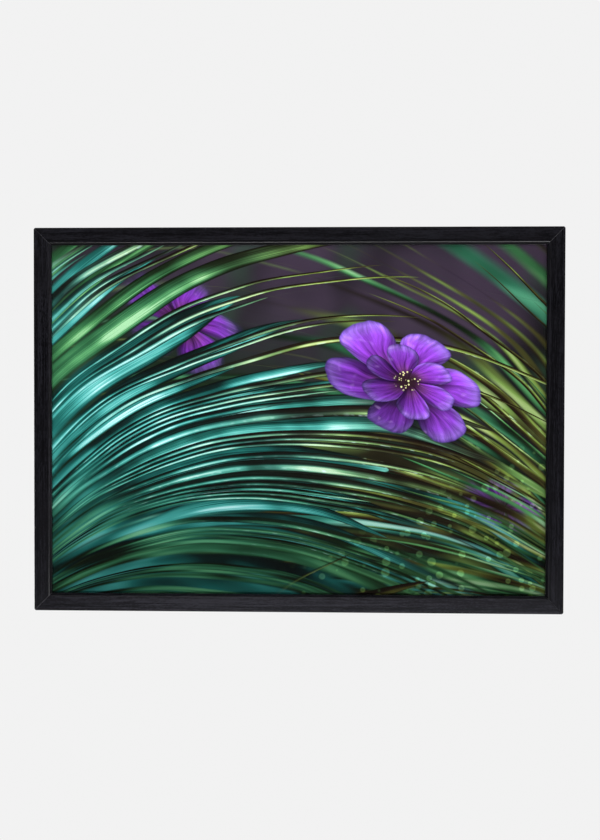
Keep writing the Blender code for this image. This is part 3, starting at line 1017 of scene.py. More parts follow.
# %% Discs of light as a node group
def make_discs():
    """Small lights out of focus. Each cell of a random mosaic holds one disc round its own centre: the
    mask is where the distance to that centre is below the disc's radius."""
    g, given, result = new_group("discs of light", [
        ("Point", "Vector", None), ("Cell", "Float", 0.02), ("Large", "Float", 0.4), ("Share", "Float", 0.5),
        ("Seed", "Float", 0.0),
    ], [("Mask", "Float"), ("Chance", "Float")])
    x, _, z = split(g, given["Point"])
    mosaic = g.nodes.new("ShaderNodeTexVoronoi")
    feed(g, mosaic.inputs["Vector"], join(g, x, z, given["Seed"]))
    feed(g, mosaic.inputs["Scale"], calc(g, "DIVIDE", 1.0, given["Cell"]))
    chance, size, hue = split(g, mosaic.outputs["Color"])
    radius = times(g, given["Large"], spread(g, size, 0.0, 1.0, 0.45, 1.0, eased=False))
    relative = calc(g, "DIVIDE", mosaic.outputs["Distance"], radius)
    inside = times(g, spread(g, relative, 0.62, 1.0, 1.0, 0.0), spread(g, relative, 0.2, 0.75, 0.75, 1.0))
    feed(g, result["Mask"], times(g, inside, calc(g, "LESS_THAN", chance, given["Share"])))
    feed(g, result["Chance"], hue)
    return g


disc_group = make_discs()
print("discs of light:", len(disc_group.nodes), "nodes")

# %% [markdown]
# ## Putting the picture together
#
# A picture with depth is painted from back to front: the ground, leaves and blossoms out of focus,
# a clump from the right, the sweep of broad and narrow blades, the main blossom in two rings of
# petals round its stamens, a few near blades, and small blurred lights over the lower right. Each
# layer is mixed over the last by its own mask. The inks are rows of colours from shadow to light.

# %% The inks
TEAL = [
    (0.0, (0.0022, 0.0014, 0.0014)), (0.14, (0.003, 0.011, 0.010)), (0.36, (0.010, 0.095, 0.085)),
    (0.60, (0.048, 0.28, 0.26)), (0.84, (0.15, 0.44, 0.43)), (1.0, (0.36, 0.58, 0.60)),
]
EMERALD = [
    (0.0, (0.0024, 0.0016, 0.0012)), (0.18, (0.006, 0.015, 0.006)), (0.45, (0.024, 0.105, 0.040)),
    (0.75, (0.085, 0.27, 0.10)), (1.0, (0.26, 0.47, 0.26)),
]
OLIVE = [
    (0.0, (0.0028, 0.0016, 0.0011)), (0.2, (0.015, 0.009, 0.005)), (0.45, (0.060, 0.058, 0.014)),
    (0.75, (0.16, 0.24, 0.045)), (1.0, (0.40, 0.47, 0.20)),
]
print("inks: teal, emerald, olive")


# %% Helpers for a layer
def two_inks(tree, shade, first, second, share):
    """The shade in the first ink at share 0, in the second at share 1."""
    return blend(tree, share, ramp(tree, shade, first), ramp(tree, shade, second))


def fan(tree, point, **numbers):
    """A fan of blades over the picture."""
    return use(tree, fan_group, Point=point, **numbers)


def blossom(tree, point, x, z, **numbers):
    """A blossom with its middle at that place."""
    return use(tree, blossom_group, Point=point, Middle=(x, 0.0, z), **numbers)


print("layer helpers ready")


# %% The ground, and what is out of focus
def ground(tree, point, x, z):
    """Dusky plum in the upper right, brown and green below, with slow clouds."""
    rise = spread(tree, add(tree, z, times(tree, x, 0.35)), -0.02, 0.22)
    colour = blend(tree, rise, (0.005, 0.012, 0.005), (0.036, 0.024, 0.042))
    dark_cloud = spread(tree, noise(tree, point, 5.0, 2.0), 0.42, 0.68)
    colour = blend(tree, dark_cloud, colour, (0.007, 0.006, 0.007))
    green_cloud = spread(tree, noise(tree, point, 9.0, 1.0), 0.5, 0.8)
    return blend(tree, green_cloud, colour, (0.02, 0.045, 0.026))


def far_leaves(tree, point, colour):
    """Leaves out of focus, from the lower right."""
    far = fan(tree, point, Hub=(0.50, 0.0, -0.42), Bend=-0.9, Blades=24.0, Reach=0.95, Split=0.3, Seed=3.0,
              Blur=0.6)
    light = times(tree, far["Shade"], 1.4)
    inks = two_inks(tree, light, OLIVE, EMERALD, spread(tree, far["Chance"], 0.3, 0.8))
    inks = blend(tree, spread(tree, far["Chance"], 0.75, 0.95), inks, ramp(tree, light, TEAL))
    return blend(tree, far["Mask"], colour, inks)


def far_blossoms(tree, point, colour):
    """Two blossoms out of focus, the second fainter."""
    left = blossom(tree, point, -0.16, 0.135, Radius=0.098, Petals=5.0, Turn=0.4, Squash=1.3, Soft=0.4,
                   Seed=5.0)
    colour = blend(tree, left["Mask"], colour, left["Colour"])
    right = blossom(tree, point, 0.285, -0.12, Radius=0.060, Petals=5.0, Turn=1.4, Squash=1.5, Soft=0.6,
                    Seed=6.0)
    return blend(tree, times(tree, right["Mask"], 0.8), colour, right["Colour"])


def right_clump(tree, point, colour, corner_blur):
    """A clump from the right, in focus only at the top."""
    blur = add(tree, 0.12, corner_blur)
    clump = fan(tree, point, Hub=(0.56, 0.0, -0.36), Bend=-0.75, Blades=44.0, Reach=0.66, Split=0.35,
                Seed=21.0, Blur=blur, Density=0.8)
    light = times(tree, clump["Shade"], 1.6)
    inks = two_inks(tree, light, EMERALD, OLIVE, spread(tree, clump["Chance"], 0.35, 0.7))
    inks = blend(tree, times(tree, clump["Glint"], 0.8), inks, (0.55, 0.85, 0.55))
    return blend(tree, clump["Mask"], colour, inks)


print("ground and far layers ready")


# %% The sweep of blades
SWEEP = {"Hub": (-0.46, 0.0, -0.33), "Bend": 1.15, "Reach": 0.92}


def sweep_blur(tree, x, z, corner_blur):
    """The sweep is in focus along a slanting band, and out of it below, at the far left and in the
    corner."""
    depth = add(tree, times(tree, x, 0.25), z)
    blur = add(tree, spread(tree, depth, -0.10, -0.24, 0.0, 0.75), spread(tree, x, -0.20, -0.40, 0.0, 0.5))
    return calc(tree, "MAXIMUM", blur, corner_blur)


def broad_leaves(tree, point, z, colour, blur):
    """Broad leaves behind the narrow blades."""
    broad = fan(tree, point, **SWEEP, Blades=15.0, Split=0.5, Seed=31.0, Blur=blur, Veins=26.0, Fold=0.22)
    light = times(tree, broad["Shade"], spread(tree, z, -0.22, 0.10, 1.0, 1.55))
    inks = two_inks(tree, light, TEAL, EMERALD, spread(tree, broad["Chance"], 0.45, 0.75))
    inks = blend(tree, spread(tree, broad["Radius"], 0.55, 0.85), inks, ramp(tree, light, OLIVE))
    return blend(tree, broad["Mask"], colour, inks)


def narrow_blades(tree, point, z, colour, blur):
    """The main sweep: teal near the hub, olive further out, emerald towards the bottom."""
    main = fan(tree, point, **SWEEP, Blades=46.0, Split=0.55, Seed=1.0, Blur=blur, Density=0.62)
    light = times(tree, main["Shade"], spread(tree, z, -0.22, 0.14, 1.1, 1.9))
    age = spread(tree, add(tree, main["Radius"], times(tree, main["Chance"], 0.12)), 0.44, 0.80)
    inks = two_inks(tree, light, TEAL, OLIVE, age)
    inks = blend(tree, spread(tree, z, -0.02, -0.2, 0.0, 0.85), inks, ramp(tree, light, EMERALD))
    inks = blend(tree, times(tree, main["Glint"], 0.85), inks, (0.52, 0.72, 0.72))
    return blend(tree, main["Mask"], colour, inks)


def near_blades(tree, point, x, colour):
    """A few near blades over the right half."""
    near = fan(tree, point, Hub=(-0.30, 0.0, -0.60), Bend=0.9, Blades=26.0, Reach=0.92, Split=0.35, Seed=12.0,
               Density=0.3)
    light = times(tree, near["Shade"], 1.6)
    inks = two_inks(tree, light, OLIVE, TEAL, spread(tree, near["Chance"], 0.4, 0.9))
    inks = blend(tree, times(tree, near["Glint"], 0.9), inks, (0.85, 0.95, 0.80))
    return blend(tree, times(tree, near["Mask"], spread(tree, x, -0.05, 0.1)), colour, inks)


print("sweep layers ready")


# %% The main blossom
PETAL_RINGS = (                 # radius, x, z, turn, seed
    (0.112, 0.150, 0.050, 0.20, 2.0),
    (0.074, 0.152, 0.053, 0.75, 8.0),
)


def main_blossom(tree, point, colour):
    """An outer and an inner ring of petals, each over its own soft shadow."""
    for radius, x, z, turn, seed in PETAL_RINGS:
        shape = {"Turn": turn, "Squash": 1.35, "Seed": seed}
        below_x, below_z = x + 0.07 * radius, z - 0.13 * radius
        shadow = blossom(tree, point, below_x, below_z, Radius=radius * 1.03, Soft=0.35, **shape)
        colour = blend(tree, times(tree, shadow["Mask"], 0.75), colour, (0.004, 0.004, 0.006))
        ring = blossom(tree, point, x, z, Radius=radius, Soft=0.02, **shape)
        colour = blend(tree, ring["Mask"], colour, ring["Colour"])
    return colour


def stamens(tree, point, colour):
    """Pale dots on a dark ground round the main blossom's middle."""
    x, _, z = split(tree, vector_calc(tree, "SUBTRACT", point, (0.152, 0.0, 0.055)))
    apart = vector_calc(tree, "LENGTH", join(tree, x, 0.0, times(tree, z, 1.3)))
    dots = use(tree, disc_group, Point=point, Cell=0.0042, Large=0.42, Share=0.75, Seed=9.0)
    dots_here = times(tree, dots["Mask"], spread(tree, apart, 0.016, 0.021, 1.0, 0.0))
    colour = blend(tree, spread(tree, apart, 0.010, 0.022, 0.8, 0.0), colour, (0.02, 0.008, 0.012))
    return blend(tree, dots_here, colour, (0.62, 0.58, 0.28))


print("main blossom ready")


# %% The light, and all layers together
def falling_light(tree, x, z, colour):
    """The light falls off to the bottom and the right."""
    lit = times(tree, spread(tree, z, 0.0, -0.25, 1.35, 0.48), spread(tree, x, 0.10, 0.36, 1.0, 0.68))
    return scaled(tree, colour, lit)


def small_lights(tree, point, colour, corner_blur):
    """Small lights out of focus in the lower right corner: they brighten what they cover, and glow."""
    where = spread(tree, corner_blur, 0.0, 0.3)
    discs = use(tree, disc_group, Point=point, Cell=0.015, Large=0.48, Share=0.7, Seed=4.0)
    seen = times(tree, discs["Mask"], where)
    colour = scaled(tree, colour, add(tree, 1.0, times(tree, seen, 0.9)))
    glow = blend(tree, discs["Chance"], (0.008, 0.040, 0.020), (0.025, 0.040, 0.006))
    return blend(tree, seen, colour, glow, "ADD")


def picture_colour(tree, point):
    """The picture's colour at a point, given from the picture's middle in metres: each layer over the
    last. A shader has room for few values at a time, so both blurs are worked out once, just before
    they are needed, and handed on."""
    x, _, z = split(tree, point)
    point = join(tree, x, 0.0, z)
    colour = ground(tree, point, x, z)
    colour = far_leaves(tree, point, colour)
    colour = far_blossoms(tree, point, colour)
    corner_blur = spread(tree, subtract(tree, times(tree, x, 0.6), z), 0.17, 0.33, 0.0, 0.5)
    colour = right_clump(tree, point, colour, corner_blur)
    blur = sweep_blur(tree, x, z, corner_blur)
    colour = broad_leaves(tree, point, z, colour, blur)
    colour = narrow_blades(tree, point, z, colour, blur)
    colour = main_blossom(tree, point, colour)
    colour = stamens(tree, point, colour)
    colour = near_blades(tree, point, x, colour)
    colour = falling_light(tree, x, z, colour)
    return small_lights(tree, point, colour, corner_blur)


print("picture layers ready")

# %% [markdown]
# ## The printed sheet
#
# The paper is a satin photo paper with a faint tooth. Held only at its edges behind the glass, such
# a sheet cockles by a tenth of a millimetre or two. It never shows as shape, but it keeps the
# surface from being dead flat.

# %% Make the printed sheet
paper, tree, shader = new_finish("printed paper")
centred = tree.nodes.new("ShaderNodeMapping")
centred.inputs["Location"].default_value = (0.0, 0.0, -MIDDLE_Z)
feed(tree, centred.inputs["Vector"], object_place(tree))
ink = picture_colour(tree, centred.outputs["Vector"])
tooth = noise(tree, object_place(tree), 2600.0, 2.0)
set_finish(tree, shader, ink, spread(tree, tooth, 0.3, 0.7, 0.68, 0.80), bump(tree, tooth, 0.01 * MM))
shader.inputs["Specular IOR Level"].default_value = 0.012


def cockle(x, z):
    """Slow waves of up to 0.12 mm, from two sets of slanting swells."""
    swell = np.sin(38.0 * x + 9.0 * z + 1.0) * np.cos(21.0 * z + 0.6)
    return 0.07 * MM * swell + 0.05 * MM * np.sin(17.0 * x - 30.0 * z)


rings = sheet_rings("print", step=12.0 * MM, ease=0.1 * MM, rim_share=0.7, wave=cockle)
sheet = carried("printed_sheet", rings, paper)
stand_in(sheet, "print")
print("printed sheet:", len(sheet.data.polygons), "faces")

# %% [markdown]
# ## Hardboard back
#
# The back is brown hardboard: wood fibre pressed on a wire screen, which leaves a fine square mesh
# on one side. The fibres show as short pale and dark flecks in every direction. Two crossed sine
# waves make the screen's imprint, and stretched noise in two directions makes the flecks.

# %% Make the backing board
board, tree, shader = new_finish("hardboard")
place = object_place(tree)
x, y, z = split(tree, place)
SCREEN_PITCH = 1.3 * MM
thread = 2 * math.pi / SCREEN_PITCH
waver = times(tree, noise(tree, place, 40.0, 2.0), 2.4)
weft = calc(tree, "SINE", add(tree, times(tree, x, thread), waver))
warp = calc(tree, "SINE", add(tree, times(tree, z, thread), waver))
screen = times(tree, weft, warp)
level_and_upright = [
    noise(tree, join(tree, times(tree, x, per_x), y, times(tree, z, per_z)), 1.0, 3.0, 0.6)
    for per_x, per_z in ((300.0, 1500.0), (1500.0, 300.0))
]
flecks = calc(tree, "MAXIMUM", *level_and_upright)
cloud = noise(tree, place, 12.0, 3.0)
colour = ramp(tree, flecks, [
    (0.40, (0.115, 0.062, 0.030)), (0.56, (0.190, 0.108, 0.056)), (0.70, (0.330, 0.215, 0.125)),
])
colour = blend(tree, spread(tree, cloud, 0.3, 0.75, 0.0, 0.6), colour, (0.150, 0.088, 0.048))
colour = blend(tree, spread(tree, screen, 0.1, 0.9, 0.0, 0.25), colour, (0.090, 0.050, 0.026))
height = add(tree, times(tree, screen, -0.5), flecks)
set_finish(tree, shader, colour, spread(tree, flecks, 0.4, 0.7, 0.72, 0.9), bump(tree, height, 0.15 * MM))


def bow(x, z):
    """A board bows towards its unsealed face by a tenth of a millimetre or so."""
    return 0.10 * MM * np.cos(3.0 * x) * np.cos(4.0 * (z - MIDDLE_Z)) - 0.05 * MM


rings = sheet_rings("backing_board", step=12.0 * MM, ease=0.5 * MM, rim_share=0.5, wave=bow)
back_board = carried("hardboard_back", rings, board)
stand_in(back_board, "backing_board")
print("hardboard:", len(back_board.data.polygons), "faces")

# %% [markdown]
# ## Zinc-plated steel
#
# The small fittings are stamped from steel strip and plated with zinc: a cool grey metal, brighter
# where it has rubbed, with fine lines from the rolls and a cloudy bloom. One plain metal shader
# looks like chrome at this size. Roughness that changes over a millimetre or two breaks the
# reflection up as plating does.


# %% Make the steel finish
def zinc(name, tint, roll_scale):
    """Zinc plate over steel. Roll lines run along Z where roll_scale is large along X."""
    material, tree, shader = new_finish(name)
    place = object_place(tree)
    bloom = noise(tree, place, 260.0, 4.0, 0.62)
    lines = noise(tree, vector_calc(tree, "MULTIPLY", place, roll_scale), 1.0, 2.0)
    specks = spread(tree, noise(tree, place, 1500.0, 2.0), 0.62, 0.74)
    colour = ramp(tree, bloom, [(0.3, tuple(0.62 * part for part in tint)), (0.7, tint)])
    colour = blend(tree, times(tree, specks, 0.5), colour, (0.22, 0.21, 0.19))
    roughness = add(tree, spread(tree, bloom, 0.3, 0.7, 0.46, 0.26), times(tree, specks, 0.2))
    height = add(tree, lines, times(tree, specks, -0.6))
    set_finish(tree, shader, colour, roughness, bump(tree, height, 0.02 * MM))
    shader.inputs["Metallic"].default_value = 1.0
    return material


strip_steel = zinc("zinc strip", (0.60, 0.61, 0.60), (2500.0, 400.0, 150.0))
plate_steel = zinc("zinc plate", (0.66, 0.66, 0.63), (150.0, 400.0, 2500.0))
screw_steel = zinc("zinc screw", (0.68, 0.68, 0.66), (500.0, 500.0, 500.0))
print("steel finishes: strip, plate, screw")

# %% [markdown]
# ## Strips bent from flat steel
#
# A tab and a hanger are the same kind of thing: a strip of steel, some half a millimetre thick, that
# follows a bent path. A plane with Solidify would do for the strip, but the edges should be the
# rounded ones that a press leaves. So the strip's own section, a thin slab with round sides, is
# carried along the path, and each ring stands square to it.


# %% Helpers for a bent strip
SIDE_POINTS = 9
FLAT_STEPS = 7


def slab_outline(half_width_low, half_width_high, half_thickness):
    """(ring, point, [side, thickness]) of a slab whose two sides are half circles. The half widths may
    change from ring to ring."""
    angle = np.linspace(-math.pi / 2, math.pi / 2, SIDE_POINTS)[None, :]
    high_side = half_width_high[:, None] - half_thickness + half_thickness * np.cos(angle)
    low_side = -(half_width_low[:, None] - half_thickness + half_thickness * np.cos(angle))
    thick = np.broadcast_to(half_thickness * np.sin(angle), high_side.shape)
    flat = np.linspace(0.0, 1.0, FLAT_STEPS + 1)[None, 1:-1]
    top = high_side[:, -1:] + (low_side[:, :1] - high_side[:, -1:]) * flat
    bottom = low_side[:, -1:] + (high_side[:, :1] - low_side[:, -1:]) * flat
    level = np.ones_like(top) * half_thickness
    side = np.concatenate([high_side, top, low_side, bottom], axis=1)
    thickness = np.concatenate([thick, level, -thick, -level], axis=1)
    return side, thickness


def bent_strip(path_along, path_out, side, thickness):
    """(ring, point, [along, side, out]): the slab's sections set square to the path."""
    step_along = np.gradient(path_along)
    step_out = np.gradient(path_out)
    length = np.hypot(step_along, step_out)
    lean_along = (-step_out / length)[:, None]
    lean_out = (step_along / length)[:, None]
    along = path_along[:, None] + lean_along * thickness
    out = path_out[:, None] + lean_out * thickness
    return np.stack([along, side, out], axis=-1)


print("strip helpers ready")

# %% [markdown]
# ## Tabs that hold the board
#
# Fourteen flexible points are shot into the rebate wall behind the board. Each leaves the wood a
# little behind the board, slopes down to it, and lies flat with its round tip. They bend by hand
# when the print is changed.

# %% Make the tabs
TAB_ROOT = 7.0 * MM
TAB_LIFT = 1.5 * MM
TAB_BENDS = (2.0 * MM, 9.0 * MM)      # from the wall: where it starts to slope down, and where it lies flat
TAB_TIP_TRIM = 0.035 * MM
MOST_ROUNDED = 0.995                  # keeps the tip's last ring from closing to a line


def tab_rings(length, width, thickness):
    """A strip along its reach: level in the wood, then down by the lift between the two bends. Its tip
    is a half circle as wide as the strip."""
    half = width / 2
    tip = length - half
    reach = np.concatenate([
        np.linspace(0.0, TAB_ROOT, 6), np.linspace(TAB_ROOT, tip, 40)[1:],
        tip + half * np.sin(np.linspace(0.0, math.pi / 2, 14)[1:-1]), [length - TAB_TIP_TRIM],
    ])
    past = np.clip((reach - tip) / half, 0.0, MOST_ROUNDED)
    half_width = np.maximum(half * np.sqrt(1 - past ** 2), thickness)
    drop = 1 - eased(reach, TAB_ROOT + TAB_BENDS[0], TAB_ROOT + TAB_BENDS[1])
    side, thick = slab_outline(half_width, half_width, thickness / 2)
    return bent_strip(reach, drop * TAB_LIFT, side, thick)


def make_tab(side_name, node):
    """One tab, in the box of its node, reaching from its side towards the picture's middle."""
    low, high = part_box(node)
    level = SIDES[side_name] % 2 == 0
    length, width = (high.z - low.z, high.x - low.x) if level else (high.x - low.x, high.z - low.z)
    thickness = high.y - low.y - TAB_LIFT
    local = tab_rings(length, width, thickness)
    middle_x, _, middle_z = box_middle(low, high)
    angle = SIDES[side_name] * math.pi / 2
    from_middle = length / 2 - local[..., 0]
    x = middle_x + local[..., 1] * math.cos(angle) + from_middle * math.sin(angle)
    z = middle_z + from_middle * math.cos(angle) - local[..., 1] * math.sin(angle)
    y = low.y + thickness / 2 + local[..., 2]
    tab = carried("flex_" + node, np.stack([x, y, z], axis=-1), strip_steel, sharp_above=50)
    stand_in(tab, node)
    return tab


tab_nodes = sorted(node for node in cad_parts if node.startswith("tab_"))
tabs = [make_tab(node.split("_")[1], node) for node in tab_nodes]
print("tabs:", len(tabs), "with", len(tabs[0].data.polygons), "faces each")

# %% [markdown]
# ## V-nails
#
# Two V-shaped nails pin each mitre from behind. Only their thin edges show, level with the wood, and
# the model has that shape already. So they keep their solids and only get the steel finish.

# %% Finish the V-nails
v_nails = [node for name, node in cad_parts.items() if name.startswith("v_nail_")]
for nail in v_nails:
    nail.data.materials.clear()
    nail.data.materials.append(strip_steel)
print("V-nails:", len(v_nails))

# %% [markdown]
# ## Sawtooth hangers
#
# Two toothed plates carry the picture. The ears lie on the wood, the middle stands clear of it to
# let a nail's head in, and the teeth along its lower edge let the picture be moved sideways until
# it hangs level. The tooth line is a triangle wave, rounded because it is punched. After the strip
# is made, a screw hole is cut through each ear.

# %% Make the hangers
HANGER_EAR = 8.5 * MM
HANGER_SLOPE = 3.0 * MM
HANGER_THICKNESS = 0.8 * MM
TEETH = 8
TOOTH_DEPTH = 1.2 * MM
EAR_ROUNDING = 1.6 * MM
HANGER_END_TRIM = 0.05 * MM
HANGER_RINGS = 261
SCREW_HOLE_RADIUS = 1.6 * MM
DRILL_REACH = 30.0 * MM
DRILL_POINTS = 40


def hanger_rings(length, width, rise):
    """A strip along X that rises from its ears to its middle. Its lower edge is notched by a wave of
    that many teeth, and its ends are rounded in plan."""
    half = length / 2
    crown = half - HANGER_EAR - HANGER_SLOPE
    along = np.linspace(-half + HANGER_END_TRIM, half - HANGER_END_TRIM, HANGER_RINGS)
    from_end = half - np.abs(along)
    inset = np.clip(EAR_ROUNDING - from_end, 0.0, EAR_ROUNDING)
    cut_corner = EAR_ROUNDING - np.sqrt(EAR_ROUNDING ** 2 - inset ** 2)
    phase = (along + crown) / (2 * crown) * TEETH
    triangle = 1 - np.abs(2 * (phase % 1.0) - 1)
    tooth = TOOTH_DEPTH * eased(triangle, -0.1, 1.1) * (np.abs(along) < crown)
    low = width / 2 - cut_corner - tooth
    high = width / 2 - cut_corner
    side, thick = slab_outline(low, high, HANGER_THICKNESS / 2)
    out = rise * eased(from_end, HANGER_EAR, HANGER_EAR + HANGER_SLOPE)
    return bent_strip(along, out, side, thick)


def drill(piece, centre):
    """Cuts a screw hole along Y through the piece, and keeps the result as its mesh."""
    radius = np.full(2, SCREW_HOLE_RADIUS)
    ends = np.array([centre.y - DRILL_REACH, centre.y + DRILL_REACH])
    drill_bit = carried("drill_bit", round_rings(radius, ends, centre, DRILL_POINTS), piece.data.materials[0])
    cut = piece.modifiers.new("hole", "BOOLEAN")
    cut.operation = "DIFFERENCE"
    cut.solver = "EXACT"
    cut.object = drill_bit
    scene_now = bpy.context.evaluated_depsgraph_get()
    drilled = bpy.data.meshes.new_from_object(piece.evaluated_get(scene_now))
    piece.modifiers.clear()
    piece.data = drilled
    bpy.data.objects.remove(drill_bit, do_unlink=True)


def make_hanger(word):
    """One hanger in the box of its node, with its two screw holes."""
    node = "hanger_" + word
    low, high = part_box(node)
    rise = high.y - low.y - HANGER_THICKNESS
    local = hanger_rings(high.x - low.x, high.z - low.z, rise)
    middle_x, _, middle_z = box_middle(low, high)
    x = middle_x + local[..., 0]
    y = low.y + HANGER_THICKNESS / 2 + local[..., 2]
    z = middle_z + local[..., 1]
    hanger = carried("sawtooth_" + word, np.stack([x, y, z], axis=-1), plate_steel, sharp_above=40)
    for number in (1, 2):
        screw_low, screw_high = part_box(f"hanger_screw_{word}_{number}")
        drill(hanger, (screw_low + screw_high) / 2)
    stand_in(hanger, node)
    return hanger


hangers = [make_hanger(word) for word in ("left", "right")]
print("hangers:", [len(hanger.data.polygons) for hanger in hangers], "faces")

# %% [markdown]
# ## Pan-head screws
#
# A screw is turned: a circle carried along its axis, wide at the head and narrow at the shank. Its
# thread is a wave that climbs one pitch each turn. The cross slot could be cut with a Boolean, but
# on rings this fine the points of the head's top can simply be pressed in where the cross lies.

# %% Make the screws
HEAD_HEIGHT = 1.9 * MM
HEAD_RADIUS = 3.1 * MM
DOME_SHARE = 0.62               # of the head's height
SIDE_STARTS = 0.7               # of the head's height
UNDERSIDE_STARTS = 0.97         # of the head's radius
SHANK_RADIUS = 1.2 * MM
SHANK_GAP = 0.1 * MM            # from the head's underside to the shank's first ring
BLUNTEST = 0.03                 # the least share of the shank's radius at the point
POINT_LENGTH = 2.5 * MM
THREAD_PITCH = 1.1 * MM
THREAD_HEIGHT = 0.28 * MM
THREAD_STARTS = 1.5 * MM        # below the head
SLOT_REACH = 1.9 * MM
SLOT_HALF = 0.42 * MM
SLOT_SOFT = 0.10 * MM
SLOT_DEPTH = 1.1 * MM
SCREW_POINTS = 96


def screw_profile(length):
    """(distance from the axis, distance below the head's top) along the screw: a low dome, the head's
    side, its flat underside, the shank and the point."""
    dome_angle = np.linspace(0.02, math.pi / 2, 44)
    dome_radius = HEAD_RADIUS * np.sin(dome_angle)
    dome_down = HEAD_HEIGHT * DOME_SHARE * (1 - np.cos(dome_angle) ** 0.8)
    side_radius = np.full(4, HEAD_RADIUS)
    side_down = np.linspace(HEAD_HEIGHT * SIDE_STARTS, HEAD_HEIGHT, 4)
    under_radius = np.linspace(HEAD_RADIUS * UNDERSIDE_STARTS, SHANK_RADIUS, 4)
    under_down = np.full(4, HEAD_HEIGHT)
    shank_down = np.linspace(HEAD_HEIGHT + SHANK_GAP, length, 130)
    shank_radius = SHANK_RADIUS * np.clip((length - shank_down) / POINT_LENGTH, BLUNTEST, 1.0) ** 0.8
    radius = np.concatenate([dome_radius, side_radius, under_radius, shank_radius])
    down = np.concatenate([dome_down, side_down, under_down, shank_down])
    return radius, down


def cross_slot(x, z):
    """How far the cross presses each point in: two arms that taper in depth towards their ends."""
    depth = np.zeros_like(x)
    for along, across in ((x, z), (z, x)):
        wall = eased(SLOT_HALF - np.abs(across), -SLOT_SOFT, SLOT_SOFT)
        taper = straight(SLOT_REACH - np.abs(along), 0.0, SLOT_REACH) ** 0.5
        depth = np.maximum(depth, SLOT_DEPTH * wall * taper)
    return depth


def make_screw(node):
    """One screw on its axis, its head's top at the highest Y of its node."""
    low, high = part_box(node)
    radius, down = screw_profile(high.y - low.y)
    angle = circle(SCREW_POINTS)
    radius, down = radius[:, None], down[:, None]
    on_shank = (down > HEAD_HEIGHT + THREAD_STARTS) & (radius > 0.2 * MM)
    climb = (down / THREAD_PITCH - angle / (2 * math.pi)) % 1.0
    thread = THREAD_HEIGHT * (eased(1 - np.abs(2 * climb - 1), 0.35, 1.0) - 0.5) * on_shank
    around = np.maximum(radius + thread, 0.03 * MM)
    x = around * np.cos(angle)
    z = around * np.sin(angle)
    on_dome = down < HEAD_HEIGHT * DOME_SHARE
    down = down + cross_slot(x, z) * on_dome
    middle_x, _, middle_z = box_middle(low, high)
    rings = np.stack([x + middle_x, high.y - down, z + middle_z], axis=-1)
    screw = carried("pan_head_" + node.replace("hanger_screw_", ""), rings, screw_steel, sharp_above=50)
    stand_in(screw, node)
    return screw


screw_nodes = sorted(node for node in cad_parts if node.startswith("hanger_screw_"))
screws = [make_screw(node) for node in screw_nodes]
print("screws:", len(screws), "with", len(screws[0].data.polygons), "faces each")

# %% [markdown]
# ## Rubber bumpers
#
# Two soft pads at the lower corners keep the frame parallel to the wall. They are moulded domes with
# a flat top and a small foot, matt and a little dusty.

# %% Make the bumpers
rubber, tree, shader = new_finish("black rubber")
place = object_place(tree)
grain = noise(tree, place, 2200.0, 3.0, 0.6)
dust = spread(tree, noise(tree, place, 380.0, 4.0, 0.65), 0.48, 0.75)
dusty = blend(tree, times(tree, dust, 0.4), (0.022, 0.022, 0.023), (0.11, 0.105, 0.10))
set_finish(tree, shader, dusty, spread(tree, grain, 0.3, 0.7, 0.6, 0.8), bump(tree, grain, 0.05 * MM))
PAD_POINTS = 72


def make_bumper(node):
    """A dome carried up its axis: its radius falls as a soft quarter circle towards the flat top."""
    low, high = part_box(node)
    radius = (high.x - low.x) / 2
    height = high.y - low.y
    upper = 0.5 + 0.5 * np.sin(np.linspace(0.0, math.pi / 2, 18)[1:])
    share = np.concatenate([np.linspace(0.0, 0.5, 8), upper])
    dome = 0.97 * (1 - straight(share, 0.5, 1.0) ** 2.6) ** 0.5
    wide = radius * np.maximum(np.where(share < 0.5, 1.0 - 0.06 * share, dome), 0.45)
    wide = np.concatenate([[radius * 0.97], wide, radius * np.linspace(0.42, 0.02, 8)])
    level = low.y + height * np.concatenate([[0.0], share, np.ones(8)])
    level[1:3] = low.y + height * np.array([0.02, 0.06])
    rings = round_rings(wide, level, box_middle(low, high), PAD_POINTS)
    bumper = carried("pad_" + node.replace("bumper_", ""), rings, rubber, sharp_above=60)
    stand_in(bumper, node)
    return bumper


bumpers = [make_bumper("bumper_" + word) for word in ("left", "right")]
print("bumpers:", len(bumpers))

# %% [markdown]
# ## Floor and light
#
# The picture hangs in front of nothing but pale light, so the world's own colour is the backdrop for
# the camera. For everything else the world is dim in front, because a pane of glass shows whatever
# is behind the viewer, and bright behind. Long soft lights low and high in front make the level
# grain and the upper sight edge shine, and the low one is the stronger. A small one at the right
# side reaches the upright rails, and one behind lights the back. The pale floor lies well below, out
# of the main view, and ends behind the picture so that it stays out. Most of its tone is a glow of
# its own, so that no light leaves a bright pool on it.

# %% Make the world
BACKDROP = 0.887
PALE_WALL = (0.30, 0.30, 0.31)
DIM_ROOM = (0.040, 0.040, 0.044)
world = bpy.data.worlds.new("pale surroundings")
world.use_nodes = True
bpy.context.scene.world = world
tree = world.node_tree
tree.nodes.clear()
to_back = split(tree, tree.nodes.new("ShaderNodeTexCoord").outputs["Generated"])[1]
surroundings = ramp(tree, spread(tree, to_back, -1.0, 1.0, eased=False), [
    (0.035, (0.025, 0.025, 0.027)), (0.075, PALE_WALL), (0.20, PALE_WALL), (0.28, DIM_ROOM), (0.46, DIM_ROOM),
    (0.56, (0.40, 0.40, 0.41)), (0.80, (0.85, 0.85, 0.86)),
])
seen = tree.nodes.new("ShaderNodeBackground")
seen.inputs["Color"].default_value = (BACKDROP, BACKDROP, BACKDROP, 1.0)
lighting = tree.nodes.new("ShaderNodeBackground")
feed(tree, lighting.inputs["Color"], surroundings)
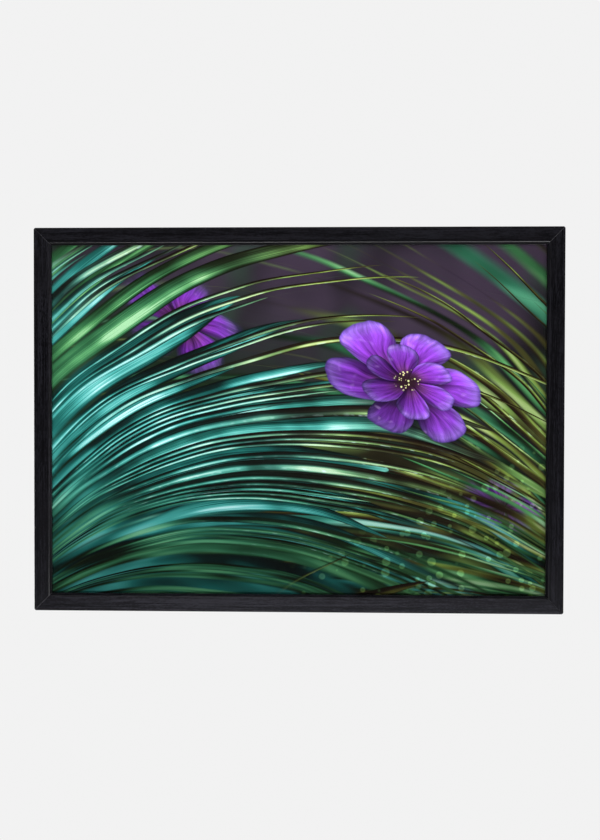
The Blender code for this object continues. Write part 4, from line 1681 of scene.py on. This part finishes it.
to_camera = tree.nodes.new("ShaderNodeLightPath").outputs["Is Camera Ray"]
output = tree.nodes.new("ShaderNodeOutputWorld")
feed(tree, output.inputs["Surface"], mix_shaders(tree, to_camera, lighting, seen))
bpy.context.scene.view_settings.view_transform = "Standard"
print("world: backdrop", BACKDROP)


# %% Place the lights
def soft_light(name, place, size, power):
    """A large area light at that place from the frame's middle, turned to face it."""
    data = bpy.data.lights.new(name, "AREA")
    data.shape = "RECTANGLE"
    data.size, data.size_y = size
    data.energy = power
    light = bpy.data.objects.new(name, data)
    light.location = Vector(place) + Vector((0.0, FACE_Y, MIDDLE_Z))
    light.rotation_mode = "QUATERNION"
    light.rotation_quaternion = Vector(place).to_track_quat("Z", "Y")
    light.visible_camera = False
    bpy.context.scene.collection.objects.link(light)
    return light


lights = [
    soft_light("low front light", (0.42, -1.80, -0.86), (2.45, 0.40), 54.0),
    soft_light("high front light", (-0.12, -1.80, 0.98), (1.8, 0.40), 18.0),
    soft_light("right side light", (2.20, -0.40, -0.10), (0.5, 1.2), 6.0),
    soft_light("back light", (-1.2, 1.7, -0.35), (1.6, 1.0), 32.0),
]
print("lights:", [light.name for light in lights])

# %% Lay the floor
FLOOR_DROP = 1.45
FLOOR_RADIUS = 2.6
FLOOR_BEHIND = 0.45
FLOOR_EASE = 0.01
FLOOR_THICKNESS = 0.03
FLOOR_GLOW = 0.64


def floor_rings():
    """A round slab below the picture, most of it in front, with an eased edge."""
    radius = np.array([0.05, 0.5, 1.0, 1.5, 2.0, FLOOR_RADIUS - FLOOR_EASE, FLOOR_RADIUS, FLOOR_RADIUS])
    radius = radius[:, None]
    drop = np.array([0.0, 0.0, 0.0, 0.0, 0.0, 0.0, FLOOR_EASE, FLOOR_THICKNESS])[:, None]
    angle = circle(128)
    x = radius * np.cos(angle)
    y = radius * np.sin(angle) - FLOOR_RADIUS + FLOOR_BEHIND
    z = np.broadcast_to(MIDDLE_Z - FLOOR_DROP - drop, x.shape)
    return np.stack([x, y, z], axis=-1)


pale, tree, shader = new_finish("pale floor")
speckle = noise(tree, object_place(tree), 90.0, 3.0)
paint = ramp(tree, speckle, [(0.3, (0.14, 0.14, 0.14)), (0.7, (0.16, 0.16, 0.16))])
set_finish(tree, shader, paint, spread(tree, speckle, 0.3, 0.7, 0.75, 0.85))
shader.inputs["Emission Color"].default_value = (1.0, 1.0, 1.0, 1.0)
shader.inputs["Emission Strength"].default_value = FLOOR_GLOW
floor = carried("floor", floor_rings(), pale)
print("floor", FLOOR_DROP, "m below the middle")
